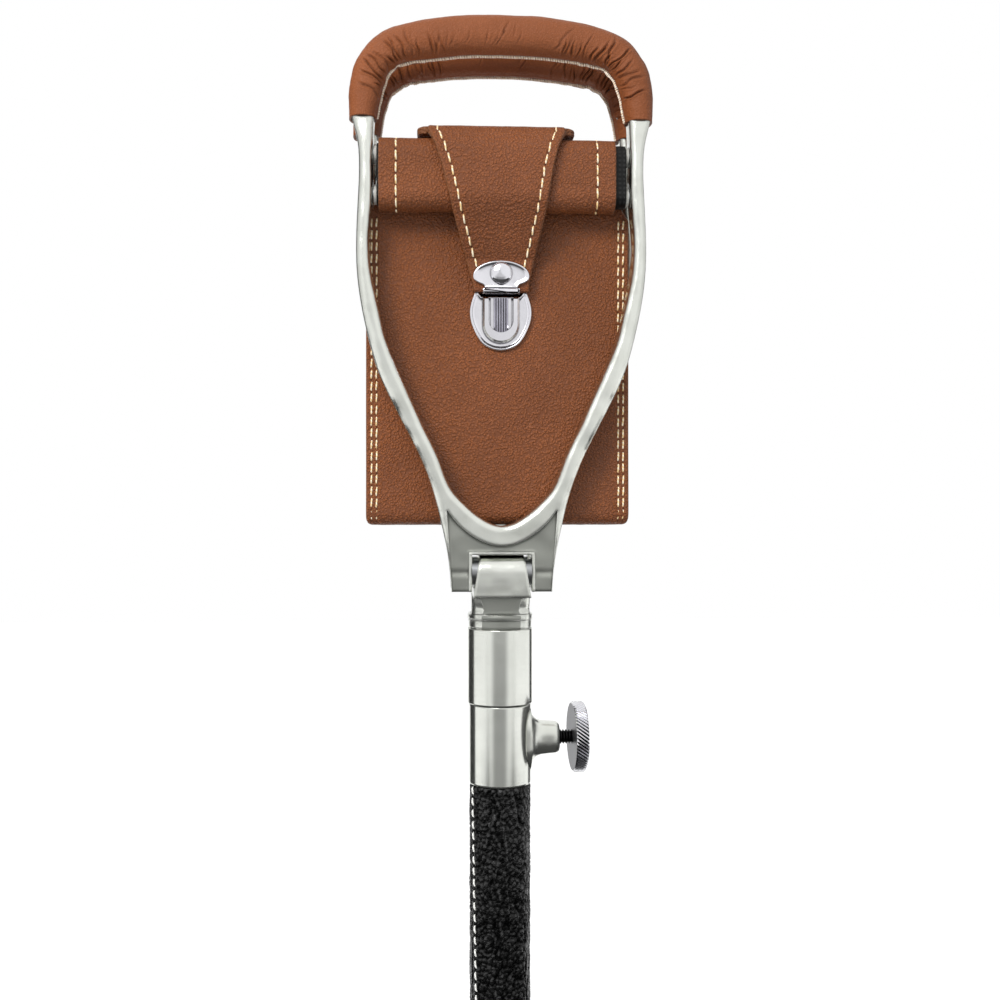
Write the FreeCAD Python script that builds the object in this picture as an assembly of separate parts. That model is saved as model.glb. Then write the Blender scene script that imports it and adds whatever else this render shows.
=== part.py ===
import FreeCAD, Part
import math
import os

# Walking stick seat, folded, standing on its rubber foot. Millimetres, +Z up.
# Origin: centre of the foot on the ground. +X is to the right of the front view,
# and the front frame is on the -Y side. The rear frame mirrors it across Y = 0.

V = FreeCAD.Vector
UP = V(0, 0, 1)
RIGHT = V(1, 0, 0)
BACK = V(0, 1, 0)

# Running clearance of every shaft in its hole, and the gap beside a soft part
RUN_GAP = 0.05
SOFT_GAP = 0.3
# How far a cutting solid passes beyond the face it cuts
OVERCUT = 1.0

# Lower end: rubber foot, spike, ground plate and end socket
FOOT_HEIGHT = 42.0
FOOT_BASE_RADIUS = 17.0
FOOT_TOP_RADIUS = 11.5
FOOT_EDGE = 1.2
FOOT_SKIRT_HEIGHT = 7.5
FOOT_SKIRT_STEP = 2.2
FOOT_CUFF_HEIGHT = 14.0
FOOT_CUFF_STEP = 1.3
FOOT_TREAD_WIDTH = 2.0
FOOT_TREAD_DEPTH = 1.0
FOOT_FLOOR = 7.0
FOOT_WASHER_RADIUS = 8.0
FOOT_WASHER_THICKNESS = 1.6
SPIKE_RADIUS = 4.5
SPIKE_POINT_HEIGHT = 14.0
SPIKE_TIP_RADIUS = 1.2
SPIKE_TIP_GAP = 1.2
SPIKE_EDGE = 1.0
SPIKE_NUT_RADIUS = 9.5
SPIKE_NUT_HEIGHT = 3.6
PLATE_RADIUS = 32.0
PLATE_THICKNESS = 4.0
PLATE_EDGE_ROUND = 1.6
SOCKET_HEIGHT = 46.0
SOCKET_WAIST_RADIUS = 10.6
SOCKET_SHOULDER = 12.0
SOCKET_TUBE_DEPTH = 16.5
SOCKET_RIM = 2.8
SOCKET_FLANGE = 1.6
SOCKET_FLANGE_HEIGHT = 2.4
SOCKET_EDGE = 0.8
SPIKE_DEPTH = 23.0

# Lower stick: leather covered tube with the clamp collar on top
OUTER_TUBE_RADIUS = 11.8
OUTER_TUBE_WALL = 1.4
LEATHER_THICKNESS = 1.5
LEATHER_LENGTH = 437.7
COLLAR_RADIUS = 13.65
COLLAR_HEIGHT = 35.1
COLLAR_SEAT = 10.3
COLLAR_EDGE = 0.7

# Clamp screw, square to the stick and turned a little to the back
SCREW_HEIGHT = 19.4
SCREW_TURN_DEG = 3.0
BOSS_ROOT_RADIUS = 7.6
BOSS_TIP_RADIUS = 6.9
BOSS_REACH = 26.0
BOSS_FLARE_RADIUS = 6.0
BOSS_FLARE_REACH = 3.4
BOSS_FLARE_ROOT = 1.5
BOSS_EDGE = 1.6
SCREW_RADIUS = 3.1
SCREW_PITCH = 1.27
THREAD_DEPTH = 0.78
THREAD_FLAT = 0.13
KNOB_RADIUS = 15.4
KNOB_THICKNESS = 5.5
KNOB_STANDOFF = 5.9
KNOB_CHAMFER = 0.7
KNOB_RIDGES = 60
KNOB_GROOVE_DEPTH = 1.0
KNOB_SLANT_DEG = 9.6
KNOB_SEAT = 3.3
PAD_THICKNESS = 2.4

# Upper stick: sliding inner tube, guide bush and head ferrule
INNER_TUBE_WALL = 1.5
INNER_TUBE_LENGTH = 268.0
BUSH_FLANGE = 6.0
BUSH_PLUG = 14.0
HEAD_FERRULE_HEIGHT = 33.0
HEAD_FERRULE_RADIUS = 14.3
HEAD_FERRULE_EDGE = 0.6
CROSS_PIN_RADIUS = 2.0

# Head casting and the two fold pins
RING_HEIGHT = 3.7
FLANGE_HEIGHT = 2.9
FLANGE_RADIUS = 14.2
FLANGE_EDGE = 0.8
RING_INSET = 0.4
NECK_HEIGHT = 7.8
NECK_FLARE = 2.2
NECK_HALF_WIDTH = 12.6
NECK_HALF_DEPTH = 11.6
SPIGOT_LENGTH = 30.0
PIVOT_SPREAD = 13.0
PIVOT_RISE = 10.5
KNUCKLE_RADIUS = 7.2
TENON_HALF_WIDTH = 12.3
TENON_DRAFT_DEG = 9.0
PIVOT_PIN_RADIUS = 3.0
WASHER_RADIUS = 5.6

# Cast frame, measured from its fold pin
FRAME_DEPTH = 12.0
FRAME_ROUND = 2.5
ARM_HALF_WIDTH = 61.6
EAR_DROP = 8.1
EAR_HALF_WIDTH = 21.5
SLOT_HALF_WIDTH = 12.8
SLOT_HEIGHT = 7.6
# Each row: height above the pin, inset of the arm's outer side, width of the arm
ARM_SHAPE = [
    (35.3, 31.9, 8.4),
    (48.2, 27.0, 7.9),
    (61.1, 20.7, 8.0),
    (74.0, 14.1, 8.8),
    (86.9, 8.5, 8.6),
    (99.8, 4.8, 7.3),
    (112.7, 2.0, 7.1),
    (128.0, 0.0, 6.0),
    (145.0, -0.2, 5.5),
    (160.0, 0.5, 6.1),
    (175.0, 0.9, 5.9),
    (184.0, 0.1, 6.8),
    (190.0, -1.3, 8.4),
    (195.3, -2.5, 9.9),
]
# Sides of the fork below the arms: height and inset from the arm's outer side
FORK_SHAPE = [(9.5, 38.2), (22.4, 35.4)]
BOW_BOTTOM = 20.0
BOW_THICKNESS = 8.6
BOW_SHAPE = [(8.0, 22.8), (16.3, 29.6)]
# Upper edge of the web's recess, beside the bow: half width and height
WEB_SHAPE = [(14.0, 16.6), (23.5, 27.0)]
WEB_FOOT_INSET = 0.4
WEB_RECESS = 2.4
LIP_WIDTH = 1.3
LIP_RECESS = 1.0

# Grip bar of each frame and the leather sewn round it
GRIP_RISE = 43.0
GRIP_LEATHER = 2.4
GRIP_BAR_DEPTH = 9.0
GRIP_SIDE_LEATHER = 3.1
GRIP_ROUND = 4.5
# Outline of the leather: half widths at the arms, then half width and height below the top
GRIP_FOOT = (64.2, 52.8)
GRIP_OUTER = [(64.9, 35.0), (64.3, 28.0), (61.6, 20.0), (55.5, 11.6), (45.5, 6.0), (31.0, 2.2),
              (16.0, 0.5)]
GRIP_INNER = [(49.8, 32.0), (47.8, 25.5), (43.0, 20.7), (26.0, 18.6), (12.0, 17.2)]
GRIP_UNDERSIDE = 16.9

# Cross rods in the arms, with the black webbing and the leather roll round them
UPPER_ROD_DROP = 16.8
ROD_SPACING = 17.2
ROD_RADIUS = 3.2
ROD_SEAT = 3.2
WEBBING_THICKNESS = 1.7
WEBBING_SHOWS = 1.7
ROLL_LEATHER = 2.1
BUSH_RADIUS = 4.2
BUSH_THICKNESS = 1.2

# Leather seat sling, hanging in a fold between the frames
SLING_THICKNESS = 2.4
SLING_HALF_WIDTH = 57.5
SLING_FOLD_HEIGHT = 20.1

# Closing strap from the rear roll over both rolls to the clasp
STRAP_THICKNESS = 3.2
STRAP_HALF_WIDTH_REAR = 34.0
STRAP_HALF_WIDTH_BEND = 27.6
STRAP_HALF_WIDTH_TIP = 12.2
STRAP_TIP_HEIGHT = 120.9
STRAP_TIP_STRAIGHT = 0.6
ANCHOR_DROP = 12.0

# Tuck clasp on the front of the sling, heights measured from the fold pins
CLASP_TOP = 122.2
CLASP_BOTTOM = 95.8
CLASP_HALF_WIDTH = 13.5
CLASP_PLATE = 1.2
# Side of the shield from its horn down: inset from the half width and share of the height
SHIELD_SHAPE = [(4.9, 0.106), (3.3, 0.0), (1.1, 0.152), (0.0, 0.364), (1.1, 0.591), (4.9, 0.864),
                (9.5, 0.973)]
BAR_GAP = 1.0
BAR_WIDTH = 1.0
BAR_RISE = 0.7
BAR_TOP_DROP = 3.6
BAR_FOOT_RISE = 4.6
CASE_HALF_WIDTH = 7.9
CASE_BAR = 2.5
CASE_TOP = 118.7
CASE_BOTTOM = 99.0
CASE_FLOOR = 4.4
CASE_HEIGHT = 3.0
CASE_BEVEL = 0.8
SLIDER_HALF_WIDTH = 4.4
SLIDER_HEIGHT = 2.0
SLIDER_CORNER = 2.4
SLIDER_RIBS = 6
SLIDER_TRAVEL = 2.5
SPRING_THICKNESS = 0.3
SPRING_REACH = 1.4
HASP_TOP = 134.4
HASP_HALF_WIDTH = 12.25
HASP_PLATE = 1.1
HASP_DIP = 0.9
# Side of the hasp's lobe: inset from the half width and height below the top
HASP_SHAPE = [(6.25, 0.0), (1.65, 1.9), (0.0, 6.2), (1.45, 10.0)]
HASP_NECK_HALF_WIDTH = 7.25
HASP_NECK_HEIGHT = 0.6
HASP_LIP_HALF_WIDTH = 8.0
HASP_LIP_HEIGHT = 2.4
HASP_LIP_RISE = 0.6
HASP_LIP_LAP = 1.2
HASP_RIVET_RADIUS = 4.7
HASP_RIVET_RISE = 1.5
HASP_RIVET_HEIGHT = 128.8
BACKING_THICKNESS = 0.8
BACKING_HALF_WIDTH = 11.0
BACKING_MARGIN = 4.0
BACKING_CORNER = 2.5

# Heights that follow from the sizes above
PLATE_BOTTOM_Z = FOOT_HEIGHT + 4.0
SOCKET_BOTTOM_Z = PLATE_BOTTOM_Z + PLATE_THICKNESS
LEATHER_BOTTOM_Z = SOCKET_BOTTOM_Z + SOCKET_HEIGHT
COLLAR_BOTTOM_Z = LEATHER_BOTTOM_Z + LEATHER_LENGTH
COLLAR_TOP_Z = COLLAR_BOTTOM_Z + COLLAR_HEIGHT
SCREW_Z = COLLAR_BOTTOM_Z + SCREW_HEIGHT
HEAD_Z = COLLAR_TOP_Z + HEAD_FERRULE_HEIGHT
NECK_BOTTOM_Z = HEAD_Z + RING_HEIGHT + FLANGE_HEIGHT
TENON_BOTTOM_Z = NECK_BOTTOM_Z + NECK_HEIGHT
PIVOT_Z = TENON_BOTTOM_Z + PIVOT_RISE

# Heights above the fold pins that follow from the arms
ARM_TOP = ARM_SHAPE[-1][0]
GRIP_TOP = ARM_TOP + GRIP_RISE
UPPER_ROD_HEIGHT = ARM_TOP - UPPER_ROD_DROP
LOWER_ROD_HEIGHT = UPPER_ROD_HEIGHT - ROD_SPACING

# Sizes of mating pieces that follow from each other
LEATHER_RADIUS = OUTER_TUBE_RADIUS + LEATHER_THICKNESS
OUTER_TUBE_BORE = OUTER_TUBE_RADIUS - OUTER_TUBE_WALL
INNER_TUBE_RADIUS = OUTER_TUBE_BORE - 0.2
INNER_TUBE_BORE = INNER_TUBE_RADIUS - INNER_TUBE_WALL
ROLL_RADIUS = ROD_RADIUS + WEBBING_THICKNESS + ROLL_LEATHER
SLING_OUTER_Y = PIVOT_SPREAD - ROLL_RADIUS - SOFT_GAP
STRAP_BEND_RADIUS = ROLL_RADIUS + SOFT_GAP + STRAP_THICKNESS / 2
CLASP_FACE_Y = SLING_OUTER_Y + CLASP_PLATE
STRAP_TIP_Y = CLASP_FACE_Y + SOFT_GAP + STRAP_THICKNESS / 2


# Small helpers for outlines and solids

def box(x0, x1, y0, y1, z0, z1):
    return Part.makeBox(x1 - x0, y1 - y0, z1 - z0, V(x0, y0, z0))


def disc(radius, z0, z1, x=0.0, y=0.0):
    return Part.makeCylinder(radius, z1 - z0, V(x, y, z0), UP)


def ring(radius, bore, z0, z1):
    return disc(radius, z0, z1).cut(disc(bore, z0, z1))


def rod_x(radius, x0, x1, y, z):
    return Part.makeCylinder(radius, x1 - x0, V(x0, y, z), RIGHT)


def smooth(points):
    """One smooth curve through the points."""
    curve = Part.BSplineCurve()
    curve.interpolate(points)
    return curve.toShape()


def line(a, b):
    return Part.makeLine(a, b)


def prism(edges, along):
    """Solid between a closed outline and its copy moved by the vector."""
    return Part.Face(Part.Wire(edges)).extrude(along)


def polygon(points, along):
    return Part.Face(Part.makePolygon(points + [points[0]])).extrude(along)


def turned(points):
    """Solid of revolution about Z from (radius, height) points."""
    outline = [V(r, 0, z) for r, z in points]
    face = Part.Face(Part.makePolygon(outline + [outline[0]]))
    return face.revolve(V(0, 0, 0), UP, 360)


def mirrored(shape):
    """The same piece on the rear side."""
    return shape.mirror(V(0, 0, 0), BACK)


def rounded(shape, radius, wanted):
    """Fillet the edges that the test picks."""
    picked = [e for e in shape.Edges if wanted(e)]
    return shape.makeFillet(radius, picked)


def whole_circle(edge):
    return len(edge.Vertexes) == 1


def face_curve(half):
    """Test for the curved edges of a shape's front and back face, at -half and half in Y."""
    return lambda e: abs(abs(e.CenterOfMass.y) - half) < 1e-4 and e.BoundBox.ZLength > half


def in_plane_y(edge, y):
    points = [v.Point.y for v in edge.Vertexes] + [edge.CenterOfMass.y]
    return all(abs(value - y) < 1e-4 for value in points)


def pin_turn(shape):
    """Turn a piece modelled along +X into the clamp screw's direction."""
    return shape.rotated(V(0, 0, 0), UP, SCREW_TURN_DEG)


# Lower end

def rubber_foot():
    bore = SPIKE_RADIUS + RUN_GAP
    floor = FOOT_FLOOR - FOOT_WASHER_THICKNESS
    cuff_z = FOOT_HEIGHT - FOOT_CUFF_HEIGHT
    cuff_radius = FOOT_TOP_RADIUS + FOOT_CUFF_STEP
    outer = turned([
        (0, 0), (FOOT_BASE_RADIUS - FOOT_EDGE, 0), (FOOT_BASE_RADIUS, FOOT_EDGE),
        (FOOT_BASE_RADIUS, FOOT_SKIRT_HEIGHT),
        (FOOT_BASE_RADIUS - FOOT_SKIRT_STEP, FOOT_SKIRT_HEIGHT + FOOT_SKIRT_STEP),
        (cuff_radius, cuff_z - 3 * FOOT_CUFF_STEP), (cuff_radius, cuff_z - FOOT_CUFF_STEP),
        (FOOT_TOP_RADIUS, cuff_z), (FOOT_TOP_RADIUS, FOOT_HEIGHT - FOOT_EDGE),
        (FOOT_TOP_RADIUS - FOOT_EDGE, FOOT_HEIGHT), (0, FOOT_HEIGHT)])
    tread_radius = (FOOT_BASE_RADIUS + FOOT_TREAD_WIDTH) / 2
    tread = ring(tread_radius, tread_radius - FOOT_TREAD_WIDTH, 0, FOOT_TREAD_DEPTH)
    washer_seat = disc(FOOT_WASHER_RADIUS, floor, FOOT_FLOOR)
    return outer.cut([disc(bore, floor, FOOT_HEIGHT), washer_seat, tread])


def foot_washer():
    return disc(FOOT_WASHER_RADIUS, FOOT_FLOOR - FOOT_WASHER_THICKNESS, FOOT_FLOOR)


def spike():
    tip_z = FOOT_FLOOR + SPIKE_TIP_GAP
    shoulder_z = tip_z + SPIKE_POINT_HEIGHT
    top_z = SOCKET_BOTTOM_Z + SPIKE_DEPTH
    rod = turned([(0, tip_z), (SPIKE_TIP_RADIUS, tip_z), (SPIKE_RADIUS, shoulder_z),
                  (SPIKE_RADIUS, top_z - SPIKE_EDGE), (SPIKE_RADIUS - SPIKE_EDGE, top_z), (0, top_z)])
    nut = Part.makePolygon([V(SPIKE_NUT_RADIUS * math.cos(k * math.pi / 3),
                              SPIKE_NUT_RADIUS * math.sin(k * math.pi / 3),
                              PLATE_BOTTOM_Z - SPIKE_NUT_HEIGHT) for k in range(7)])
    return rod.fuse(Part.Face(nut).extrude(V(0, 0, SPIKE_NUT_HEIGHT))).removeSplitter()


def ground_plate():
    plate = ring(PLATE_RADIUS, SPIKE_RADIUS, PLATE_BOTTOM_Z, SOCKET_BOTTOM_Z)
    return rounded(plate, PLATE_EDGE_ROUND,
                   lambda e: whole_circle(e) and e.BoundBox.XLength > PLATE_RADIUS)


def end_socket():
    top = LEATHER_BOTTOM_Z
    seat = top - SOCKET_TUBE_DEPTH
    shoulder = seat - SOCKET_RIM
    outer = turned([
        (0, SOCKET_BOTTOM_Z), (SOCKET_WAIST_RADIUS + SOCKET_FLANGE, SOCKET_BOTTOM_Z),
        (SOCKET_WAIST_RADIUS, SOCKET_BOTTOM_Z + SOCKET_FLANGE_HEIGHT),
        (SOCKET_WAIST_RADIUS, shoulder - SOCKET_SHOULDER), (LEATHER_RADIUS, shoulder),
        (LEATHER_RADIUS, top - SOCKET_EDGE), (LEATHER_RADIUS - SOCKET_EDGE, top), (0, top)])
    return outer.cut([disc(OUTER_TUBE_RADIUS, seat, top), disc(SPIKE_RADIUS, SOCKET_BOTTOM_Z, seat)])


# Lower stick

def outer_tube():
    bottom = LEATHER_BOTTOM_Z - SOCKET_TUBE_DEPTH
    return ring(OUTER_TUBE_RADIUS, OUTER_TUBE_BORE, bottom, COLLAR_BOTTOM_Z + COLLAR_SEAT)


def tube_leather():
    return ring(LEATHER_RADIUS, OUTER_TUBE_RADIUS, LEATHER_BOTTOM_Z, COLLAR_BOTTOM_Z)


def boss_outline():
    """Half outline of the clamp boss along +X, with its hollow flare at the collar."""
    root = COLLAR_RADIUS - BOSS_FLARE_ROOT
    flare_end = COLLAR_RADIUS + BOSS_FLARE_REACH
    flange = BOSS_ROOT_RADIUS + BOSS_FLARE_RADIUS
    a = V(0, 0, 0)
    b = V(0, 0, flange)
    c = V(root, 0, flange)
    halfway = math.sin(math.pi / 4)
    mid = V(flare_end - halfway * (flare_end - root), 0, flange - halfway * BOSS_FLARE_RADIUS)
    d = V(flare_end, 0, BOSS_ROOT_RADIUS)
    e = V(BOSS_REACH - BOSS_EDGE, 0, BOSS_TIP_RADIUS)
    f = V(BOSS_REACH - BOSS_EDGE * (1 - halfway), 0, BOSS_TIP_RADIUS - BOSS_EDGE * (1 - halfway))
    g = V(BOSS_REACH, 0, BOSS_TIP_RADIUS - BOSS_EDGE)
    h = V(BOSS_REACH, 0, 0)
    return [line(a, b), line(b, c), Part.Arc(c, mid, d).toShape(), line(d, e),
            Part.Arc(e, f, g).toShape(), line(g, h), line(h, a)]


def collar():
    body = disc(COLLAR_RADIUS, COLLAR_BOTTOM_Z, COLLAR_TOP_Z)
    body = rounded(body, COLLAR_EDGE, whole_circle)
    boss = Part.Face(Part.Wire(boss_outline())).revolve(V(0, 0, 0), RIGHT, 360)
    boss.translate(V(0, 0, SCREW_Z))
    wide = 2 * COLLAR_RADIUS
    boss = boss.common(box(0, BOSS_REACH, -wide, wide, COLLAR_BOTTOM_Z, COLLAR_TOP_Z))
    body = body.fuse(pin_turn(boss)).removeSplitter()
    body = body.cut(disc(OUTER_TUBE_RADIUS, COLLAR_BOTTOM_Z, COLLAR_BOTTOM_Z + COLLAR_SEAT))
    body = body.cut(disc(INNER_TUBE_RADIUS + RUN_GAP, COLLAR_BOTTOM_Z, COLLAR_TOP_Z))
    thread = rod_x(SCREW_RADIUS + RUN_GAP, 0, BOSS_REACH, 0, SCREW_Z)
    return body.cut(pin_turn(thread))


def clamp_pad():
    pad = rod_x(SCREW_RADIUS, 0, screw_start(), 0, SCREW_Z)
    tube = disc(INNER_TUBE_RADIUS + RUN_GAP, SCREW_Z - 2 * SCREW_RADIUS, SCREW_Z + 2 * SCREW_RADIUS)
    return pin_turn(pad).cut(tube)


def screw_start():
    return INNER_TUBE_RADIUS + RUN_GAP + PAD_THICKNESS


def screw_shank():
    """Threaded shank: one groove per turn along the length that shows."""
    start = screw_start()
    end = BOSS_REACH + KNOB_STANDOFF
    root = SCREW_RADIUS - THREAD_DEPTH
    points = [(0, start), (root, start), (SCREW_RADIUS, start + THREAD_DEPTH)]
    turns = int((end - start - THREAD_DEPTH) / SCREW_PITCH)
    for turn in range(turns):
        x = end - (turns - turn) * SCREW_PITCH
        points += [(SCREW_RADIUS, x + THREAD_FLAT), (root, x + SCREW_PITCH / 2),
                   (SCREW_RADIUS, x + SCREW_PITCH - THREAD_FLAT)]
    points += [(SCREW_RADIUS, end + KNOB_SEAT), (0, end + KNOB_SEAT)]
    outline = [V(at, 0, r) for r, at in points]
    face = Part.Face(Part.makePolygon(outline + [outline[0]]))
    shank = face.revolve(V(0, 0, 0), RIGHT, 360)
    shank.translate(V(0, 0, SCREW_Z))
    return pin_turn(shank)


def knob():
    """Knurled disc: slanting ridges cut round the rim."""
    x0 = BOSS_REACH + KNOB_STANDOFF
    body = Part.makeCylinder(KNOB_RADIUS, KNOB_THICKNESS, V(x0, 0, 0), RIGHT)
    body = body.makeChamfer(KNOB_CHAMFER, [e for e in body.Edges if whole_circle(e)])
    groove = KNOB_RADIUS - KNOB_GROOVE_DEPTH
    outer = KNOB_RADIUS + KNOB_GROOVE_DEPTH / 2
    slant = math.radians(KNOB_SLANT_DEG)
    half = math.pi / KNOB_RIDGES * 0.86
    cuts = []
    for k in range(KNOB_RIDGES):
        angle = 2 * math.pi * k / KNOB_RIDGES
        wires = []
        for x, turn in ((x0 - KNOB_CHAMFER, -slant), (x0 + KNOB_THICKNESS + KNOB_CHAMFER, slant)):
            a = angle + turn
            corners = [V(x, r * math.cos(b), r * math.sin(b))
                       for r, b in ((outer, a - half), (groove, a), (outer, a + half))]
            wires.append(Part.makePolygon(corners + [corners[0]]))
        cuts.append(Part.makeLoft(wires, True, True))
    body = body.cut(Part.makeCompound(cuts))
    body = body.cut(Part.makeCylinder(SCREW_RADIUS, KNOB_SEAT, V(x0, 0, 0), RIGHT))
    body.translate(V(0, 0, SCREW_Z))
    return pin_turn(body)


# Upper stick

def inner_tube_bottom():
    return HEAD_Z - INNER_TUBE_LENGTH


def inner_tube():
    tube = ring(INNER_TUBE_RADIUS, INNER_TUBE_BORE, inner_tube_bottom(), HEAD_Z)
    return tube.cut(cross_pin_bore())


def guide_bush():
    z = inner_tube_bottom()
    flange = disc(OUTER_TUBE_BORE - RUN_GAP, z - BUSH_FLANGE, z)
    plug = disc(INNER_TUBE_BORE - RUN_GAP, z, z + BUSH_PLUG)
    return flange.fuse(plug).removeSplitter()


def head_ferrule():
    sleeve = disc(HEAD_FERRULE_RADIUS, COLLAR_TOP_Z, HEAD_Z)
    sleeve = rounded(sleeve, HEAD_FERRULE_EDGE, whole_circle)
    return sleeve.cut(disc(INNER_TUBE_RADIUS, COLLAR_TOP_Z, HEAD_Z))


def cross_pin_bore():
    z = COLLAR_TOP_Z + HEAD_FERRULE_HEIGHT / 2
    return rod_x(CROSS_PIN_RADIUS, -INNER_TUBE_RADIUS, INNER_TUBE_RADIUS, 0, z)


def cross_pin():
    return cross_pin_bore().common(disc(INNER_TUBE_RADIUS, COLLAR_TOP_Z, HEAD_Z))


def head_casting():
    ring_part = disc(HEAD_FERRULE_RADIUS - RING_INSET, HEAD_Z, HEAD_Z + RING_HEIGHT)
    flange = rounded(disc(FLANGE_RADIUS, HEAD_Z + RING_HEIGHT, NECK_BOTTOM_Z), FLANGE_EDGE, whole_circle)
    neck = box(-NECK_HALF_WIDTH, NECK_HALF_WIDTH, -NECK_HALF_DEPTH, NECK_HALF_DEPTH,
               NECK_BOTTOM_Z, TENON_BOTTOM_Z)
    neck = neck.common(turned([(0, NECK_BOTTOM_Z), (FLANGE_RADIUS, NECK_BOTTOM_Z),
                               (NECK_HALF_WIDTH + NECK_FLARE / 2, NECK_BOTTOM_Z + NECK_FLARE),
                               (NECK_HALF_WIDTH + NECK_FLARE, TENON_BOTTOM_Z), (0, TENON_BOTTOM_Z)]))
    spigot = disc(INNER_TUBE_BORE, HEAD_Z - SPIGOT_LENGTH, HEAD_Z).cut(cross_pin_bore())
    body = ring_part.fuse([flange, neck, tenon(), spigot]).removeSplitter()
    for y in (-PIVOT_SPREAD, PIVOT_SPREAD):
        body = body.cut(rod_x(PIVOT_PIN_RADIUS, -TENON_HALF_WIDTH, TENON_HALF_WIDTH, y, PIVOT_Z))
    return body


def tenon():
    """Block between the fork ears: round over each fold pin, with tapered sides."""
    reach = PIVOT_SPREAD + KNUCKLE_RADIUS
    top = PIVOT_Z + KNUCKLE_RADIUS
    corner = KNUCKLE_RADIUS * math.sin(math.pi / 4)
    x = -TENON_HALF_WIDTH
    a, b = V(x, -reach, TENON_BOTTOM_Z), V(x, reach, TENON_BOTTOM_Z)
    c, d = V(x, reach, PIVOT_Z), V(x, PIVOT_SPREAD, top)
    e, f = V(x, -PIVOT_SPREAD, top), V(x, -reach, PIVOT_Z)
    rear = Part.Arc(c, V(x, PIVOT_SPREAD + corner, PIVOT_Z + corner), d).toShape()
    front = Part.Arc(e, V(x, -PIVOT_SPREAD - corner, PIVOT_Z + corner), f).toShape()
    side = prism([line(a, b), line(b, c), rear, line(d, e), front, line(f, a)],
                 V(2 * TENON_HALF_WIDTH, 0, 0))
    rise = top - TENON_BOTTOM_Z + OVERCUT
    lean = rise * math.tan(math.radians(TENON_DRAFT_DEG))
    front_shape = polygon([
        V(-TENON_HALF_WIDTH, -reach, TENON_BOTTOM_Z), V(TENON_HALF_WIDTH, -reach, TENON_BOTTOM_Z),
        V(TENON_HALF_WIDTH - lean, -reach, TENON_BOTTOM_Z + rise),
        V(-TENON_HALF_WIDTH + lean, -reach, TENON_BOTTOM_Z + rise)], V(0, 2 * reach, 0))
    return side.common(front_shape)


def pivot_pins():
    pins = [rod_x(PIVOT_PIN_RADIUS, -EAR_HALF_WIDTH, EAR_HALF_WIDTH, y, PIVOT_Z)
            for y in (-PIVOT_SPREAD, PIVOT_SPREAD)]
    return Part.makeCompound(pins)


def pivot_washers():
    """Spacers on the pins that fill the tapered gap beside the tenon."""
    block = tenon()
    washers = []
    for y in (-PIVOT_SPREAD, PIVOT_SPREAD):
        for side in (-1, 1):
            inside = side * (TENON_HALF_WIDTH - WASHER_RADIUS)
            x0, x1 = sorted((inside, side * (SLOT_HALF_WIDTH - RUN_GAP)))
            pin = rod_x(PIVOT_PIN_RADIUS, x0, x1, y, PIVOT_Z)
            washers.append(rod_x(WASHER_RADIUS, x0, x1, y, PIVOT_Z).cut([pin, block]))
    return Part.makeCompound(washers)


# Frames, modelled for the front side

def frame_point(half_width, height, side=1):
    return V(side * half_width, 0, PIVOT_Z + height)


def arm_points(inner, side):
    points = []
    for height, inset, width in ARM_SHAPE:
        half = ARM_HALF_WIDTH - inset - (width if inner else 0)
        points.append(frame_point(half, height, side))
    return points


def frame_outline():
    """Closed front outline of the arms, the bow and the fork."""
    bottom = -EAR_DROP
    sides = []
    for side in (1, -1):
        outer = [frame_point(EAR_HALF_WIDTH, bottom, side)]
        outer += [frame_point(ARM_HALF_WIDTH - inset, h, side) for h, inset in FORK_SHAPE]
        outer += arm_points(False, side)
        sides.append(outer)
    inner_right = [frame_point(0, BOW_BOTTOM)] + [frame_point(w, h) for w, h in BOW_SHAPE]
    inner_right += arm_points(True, 1)
    inner_left = arm_points(True, -1)[::-1] + [frame_point(w, h, -1) for w, h in BOW_SHAPE[::-1]]
    inner = inner_left + inner_right
    right, left = sides
    return [smooth(right), line(right[-1], inner[-1]), smooth(inner), line(inner[0], left[-1]),
            smooth(left), line(left[0], right[0])]


def slot_block(margin, y0, y1):
    half = SLOT_HALF_WIDTH + margin
    return box(-half, half, y0, y1, PIVOT_Z - EAR_DROP - 2 * OVERCUT, PIVOT_Z + SLOT_HEIGHT + margin)


def web_pocket(y0, y1):
    """Space of the shallow recess in the web, below the bow and inside the fork's sides."""
    half_curve = [V(w, y0, PIVOT_Z + h) for w, h in WEB_SHAPE]
    lowest = V(0, y0, PIVOT_Z + BOW_BOTTOM - BOW_THICKNESS)
    curve = [V(-p.x, p.y, p.z) for p in half_curve[::-1]] + [lowest] + half_curve
    right, left = curve[-1], curve[0]
    foot_right = V(EAR_HALF_WIDTH - WEB_FOOT_INSET, y0, PIVOT_Z - EAR_DROP - OVERCUT)
    foot_left = V(-foot_right.x, y0, foot_right.z)
    return prism([smooth(curve), line(right, foot_right), line(foot_right, foot_left),
                  line(foot_left, left)], V(0, y1 - y0, 0))


def grip_curve(foot, points, centre_drop):
    """Arch outline from the left foot over the top to the right foot."""
    right = [V(foot, 0, PIVOT_Z + ARM_TOP)]
    right += [V(w, 0, PIVOT_Z + GRIP_TOP - drop) for w, drop in points]
    left = [V(-p.x, 0, p.z) for p in right]
    return left + [V(0, 0, PIVOT_Z + GRIP_TOP - centre_drop)] + right[::-1]


def grip_outline():
    """Outer and inner curve of the leather."""
    foot_outer, foot_inner = GRIP_FOOT
    return grip_curve(foot_outer, GRIP_OUTER, 0), grip_curve(foot_inner, GRIP_INNER, GRIP_UNDERSIDE)


def arch(outer, inner, depth):
    """Arch-shaped prism between an outer and an inner curve, square in the frame's middle."""
    edges = [smooth(outer), line(outer[-1], inner[-1]), smooth(inner[::-1]), line(inner[0], outer[0])]
    solid = prism(edges, V(0, depth, 0))
    solid.translate(V(0, -depth / 2, 0))
    return solid


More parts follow.
